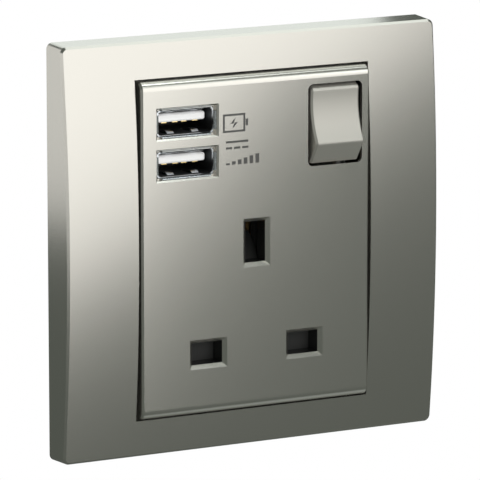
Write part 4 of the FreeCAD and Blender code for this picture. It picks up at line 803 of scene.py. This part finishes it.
class SOCKET_OT_marks(bpy.types.Operator):
    """Print a battery, a direct current sign and a row of bars beside the ports"""
    bl_idname = "socket.marks"
    bl_label = "Printed marks"

    # How far the print reaches into the cover.
    SUNK = 0.005

    # The battery's left, foot, right and top, its line, and the knob at its end.
    BATTERY = (-7.8, 23.2, -2.7, 27.0)
    LINE = 0.42
    KNOB_START, KNOB_END, KNOB_HALF = 0.1, 0.65, 0.7

    # The bolt's two halves: a tip's distance from the battery's edge and from its middle line, a base's
    # reach from there and how near it comes to the middle.
    BOLT_GAP, BOLT_LEAN = 0.75, 0.35
    BOLT_FAR, BOLT_NEAR = 0.85, 0.12

    # The direct current sign: a line, and dashes under it.
    LEFT, RIGHT = -7.1, -2.0
    SOLID = (21.0, 21.45)
    DASHED = (19.75, 20.2)
    DASHES, DASH, DASH_STEP = 3, 1.4, 1.85

    # The rising bars.
    BARS, BAR_WIDE, BAR_STEP = 6, 0.85, 1.35
    BARS_FOOT, FIRST_TOP, TOP_STEP = 16.5, 16.9, 0.3

    def execute(self, context):
        paint, sizes = settings()[:2]
        mesh = bmesh.new()
        # The back and the front of the print
        self.layer = (COVER_FRONT - self.SUNK, COVER_FRONT + sizes.print_thick / MM)
        self.battery(mesh)
        self.direct_current(mesh)
        self.rising_bars(mesh)
        ink = moulded_plastic("print_grey", tuple(paint.print_colour), 0.55, 0.12, 0.0006)
        finished(mesh, "printed_marks", ink, "socket")
        return {"FINISHED"}

    def bar(self, mesh, left, foot, right, top):
        """One upright rectangle of print."""
        plate(mesh, [(left, foot), (right, foot), (right, top), (left, top)], *self.layer)

    def battery(self, mesh):
        """The outline of a battery with a bolt in two halves."""
        left, foot, right, top = self.BATTERY
        self.bar(mesh, left, foot, left + self.LINE, top)
        self.bar(mesh, right - self.LINE, foot, right, top)
        for height in (foot, top - self.LINE):
            self.bar(mesh, left + self.LINE, height, right - self.LINE, height + self.LINE)
        across, middle = (left + right) / 2, (foot + top) / 2
        self.bar(mesh, right + self.KNOB_START, middle - self.KNOB_HALF, right + self.KNOB_END,
                 middle + self.KNOB_HALF)
        for side, tip in ((1, top - self.BOLT_GAP), (-1, foot + self.BOLT_GAP)):
            base = middle - side * self.BOLT_NEAR
            plate(mesh, [(across + side * self.BOLT_LEAN, tip), (across - side * self.BOLT_FAR, base),
                         (across - side * self.BOLT_NEAR, base)], *self.layer)

    def direct_current(self, mesh):
        """A line over three dashes."""
        self.bar(mesh, self.LEFT, self.SOLID[0], self.RIGHT, self.SOLID[1])
        for number in range(self.DASHES):
            left = self.LEFT + self.DASH_STEP * number
            self.bar(mesh, left, self.DASHED[0], left + self.DASH, self.DASHED[1])

    def rising_bars(self, mesh):
        """A row of bars, each higher than the one before."""
        for number in range(self.BARS):
            left = self.LEFT + self.BAR_STEP * number
            top = self.FIRST_TOP + self.TOP_STEP * number
            self.bar(mesh, left, self.BARS_FOOT, left + self.BAR_WIDE, top)


class SOCKET_OT_stage(bpy.types.Operator):
    """Set up the white room, the studio lights and the camera"""
    bl_idname = "socket.stage"
    bl_label = "Studio"

    # The lamps' two colours, and the dim air that lights the socket where the camera sees a white room.
    WARM = (1.0, 0.985, 0.972)
    COOL = (0.95, 1.0, 0.98)
    AIR_COLOUR = (0.89, 1.0, 0.88, 1)
    AIR_STRENGTH = 0.122

    # Places and ways in the studio run along the scene's own axes, in millimetres.
    # The round lamps, each with its place, its width, its power and its colour.
    LAMPS = {"side_light": ((-95, 84, 40), 120, 0.03, WARM),
             "rim_light": ((15, 84, 62), 124, 0.04, COOL),
             "edge_light": ((-304, -142, 40), 200, 0.1, WARM),
             "frame_light": ((190, -88, 420), 260, 0.27, COOL),
             "fill_light": ((-304, -142, 40), 200, 0.02, WARM),
             "top_light": ((60, -60, 420), 200, 0.5, COOL),
             "low_light": ((120, -36, -235), 150, 0.013, COOL),
             "back_light": ((20, 400, -80), 160, 0.65, WARM)}

    # The point of the face where the soft box's reflection ends, the way from the box to that point,
    # and the way in which the box spreads from there.
    BOX_EDGE = (-3.0, -8.5, 38.0)
    BOX_SHINES = (-0.455, 0.87, 0.19)
    BOX_SPREADS = (-0.78, 0.09, 0.62)
    BOX_DISTANCE = 250
    BOX_SIZE = (440, 400)
    BOX_POWER = 0.88

    # Two strips that the cover's upper bevel reflects, each with its shift towards the wall, its width
    # and its power. What the pin holes' bevels reflect lies in the space between them.
    BEVEL = (0, -8.7, 34.5)
    BEVEL_MIRRORS = (0.454, -0.188, 0.874)
    STRIP_DISTANCE = 60
    STRIP_LONG = 80
    STRIPS = {"bevel_light": (4, 8, 0.003), "crease_light": (-34, 20, 0.0048)}

    # Two lamps light the frame alone, and four light all but the frame.
    FRAME_LINKS = {"edge_light": "INCLUDE", "frame_light": "INCLUDE", "fill_light": "EXCLUDE",
                   "bevel_light": "EXCLUDE", "crease_light": "EXCLUDE", "top_light": "EXCLUDE"}

    def execute(self, context):
        scene = context.scene
        scene.view_settings.view_transform = "Standard"
        scene.view_settings.look = "None"
        scene.world = self.air()
        scene.camera = self.camera(settings()[2])
        self.soft_box()
        self.bevel_strips()
        for name, lamp in self.LAMPS.items():
            self.area(name, *lamp)
        return {"FINISHED"}

    def air(self):
        """The world: white to the camera and dim to everything else."""
        world = bpy.data.worlds.new("studio_air")
        world.use_nodes = True
        tree = world.node_tree
        dim = tree.nodes["Background"]
        dim.inputs["Color"].default_value = self.AIR_COLOUR
        dim.inputs["Strength"].default_value = self.AIR_STRENGTH
        white = tree.nodes.new("ShaderNodeBackground")
        white.inputs["Color"].default_value = (1, 1, 1, 1)
        seen = tree.nodes.new("ShaderNodeMixShader")
        tree.links.new(tree.nodes.new("ShaderNodeLightPath").outputs["Is Camera Ray"], seen.inputs["Fac"])
        tree.links.new(dim.outputs["Background"], seen.inputs[1])
        tree.links.new(white.outputs["Background"], seen.inputs[2])
        tree.links.new(seen.outputs["Shader"], tree.nodes["World Output"].inputs["Surface"])
        return world

    def camera(self, studio):
        """The photo's camera."""
        sway, rise = studio.azimuth, studio.elevation
        outward = Vector((-math.sin(sway) * math.cos(rise), -math.cos(sway) * math.cos(rise), math.sin(rise)))
        right = Vector((math.cos(sway), -math.sin(sway), 0))
        upward = outward.cross(right)
        data = bpy.data.cameras.new("photo_camera")
        data.lens = studio.lens
        data.sensor_width = 36
        data.clip_end = 200
        camera = bpy.data.objects.new("photo_camera", data)
        bpy.context.scene.collection.objects.link(camera)
        facing = Matrix((right, upward, outward)).transposed().to_4x4()
        place = outward * studio.distance + right * studio.aim_right + upward * studio.aim_up
        camera.matrix_world = Matrix.Translation(place) @ facing
        return camera

    def soft_box(self):
        """The large lamp whose reflection covers the face's left part."""
        shines = Vector(self.BOX_SHINES).normalized()
        along = shines.cross(Vector(self.BOX_SPREADS).normalized()).normalized()
        spreads = along.cross(shines)
        place = Vector(self.BOX_EDGE) - shines * self.BOX_DISTANCE + spreads * (self.BOX_SIZE[1] / 2)
        self.panel("key_light", place, (along, spreads, -shines), self.BOX_SIZE, self.BOX_POWER, self.WARM)

    def bevel_strips(self):
        """Two narrow lamps over the socket."""
        mirrors = Vector(self.BEVEL_MIRRORS).normalized()
        level = (Vector((1, 0, 0)) - mirrors.x * mirrors).normalized()
        deep = mirrors.cross(level)
        for name, (shift, tall, power) in self.STRIPS.items():
            place = Vector(self.BEVEL) + mirrors * self.STRIP_DISTANCE + deep * shift
            self.panel(name, place, (level, deep, mirrors), (self.STRIP_LONG, tall), power, self.COOL)

    def panel(self, name, place, axes, size, power, colour):
        """A rectangular lamp whose first two axes run along its sides."""
        light = self.area(name, place, size[0], power, colour)
        light.data.shape = "RECTANGLE"
        light.data.size_y = size[1] * MM
        light.rotation_euler = Matrix(axes).transposed().to_euler()

    def area(self, name, place, size, power, colour):
        """A round lamp that faces the socket and isn't seen itself, with its links to the frame."""
        data = bpy.data.lights.new(name, "AREA")
        data.shape = "DISK"
        data.size = size * MM
        data.energy = power
        data.color = colour
        light = bpy.data.objects.new(name, data)
        bpy.context.scene.collection.objects.link(light)
        light.location = Vector(place) * MM
        light.rotation_euler = (-light.location).to_track_quat("-Z", "Y").to_euler()
        light.visible_camera = False
        if name in self.FRAME_LINKS:
            linked = bpy.data.collections.new(f"{name}_links")
            linked.objects.link(NODES["surround_frame"])
            light.light_linking.receiver_collection = linked
            linked.collection_objects[0].light_linking.link_state = self.FRAME_LINKS[name]
        return light


class SOCKET_PT_looks(bpy.types.Panel):
    """Lists the pieces of the socket and their settings"""
    bl_idname = "SOCKET_PT_looks"
    bl_label = "Wall Socket"
    bl_space_type = "VIEW_3D"
    bl_region_type = "UI"
    bl_category = "Socket"

    def draw(self, context):
        for group in settings():
            for name in group.__annotations__:
                self.layout.prop(group, name)
        for step in STEPS:
            self.layout.operator(step.bl_idname)


STEPS = (SOCKET_OT_lacquer, SOCKET_OT_mouldings, SOCKET_OT_metalwork, SOCKET_OT_springs, SOCKET_OT_charger,
         SOCKET_OT_ports, SOCKET_OT_screws, SOCKET_OT_marks, SOCKET_OT_stage)
GROUPS = {"socket_paint": SocketPaint, "socket_sizes": SocketSizes, "socket_studio": SocketStudio}


def register():
    for group in GROUPS.values():
        bpy.utils.register_class(group)
    for name, group in GROUPS.items():
        setattr(bpy.types.Scene, name, bpy.props.PointerProperty(type=group))
    for step in STEPS:
        bpy.utils.register_class(step)
    bpy.utils.register_class(SOCKET_PT_looks)


def unregister():
    bpy.utils.unregister_class(SOCKET_PT_looks)
    for step in reversed(STEPS):
        bpy.utils.unregister_class(step)
    for name, group in GROUPS.items():
        delattr(bpy.types.Scene, name)
        bpy.utils.unregister_class(group)


def main():
    register()
    for step in STEPS:
        area, name = step.bl_idname.split(".")
        getattr(getattr(bpy.ops, area), name)()


if __name__ == "__main__":
    main()
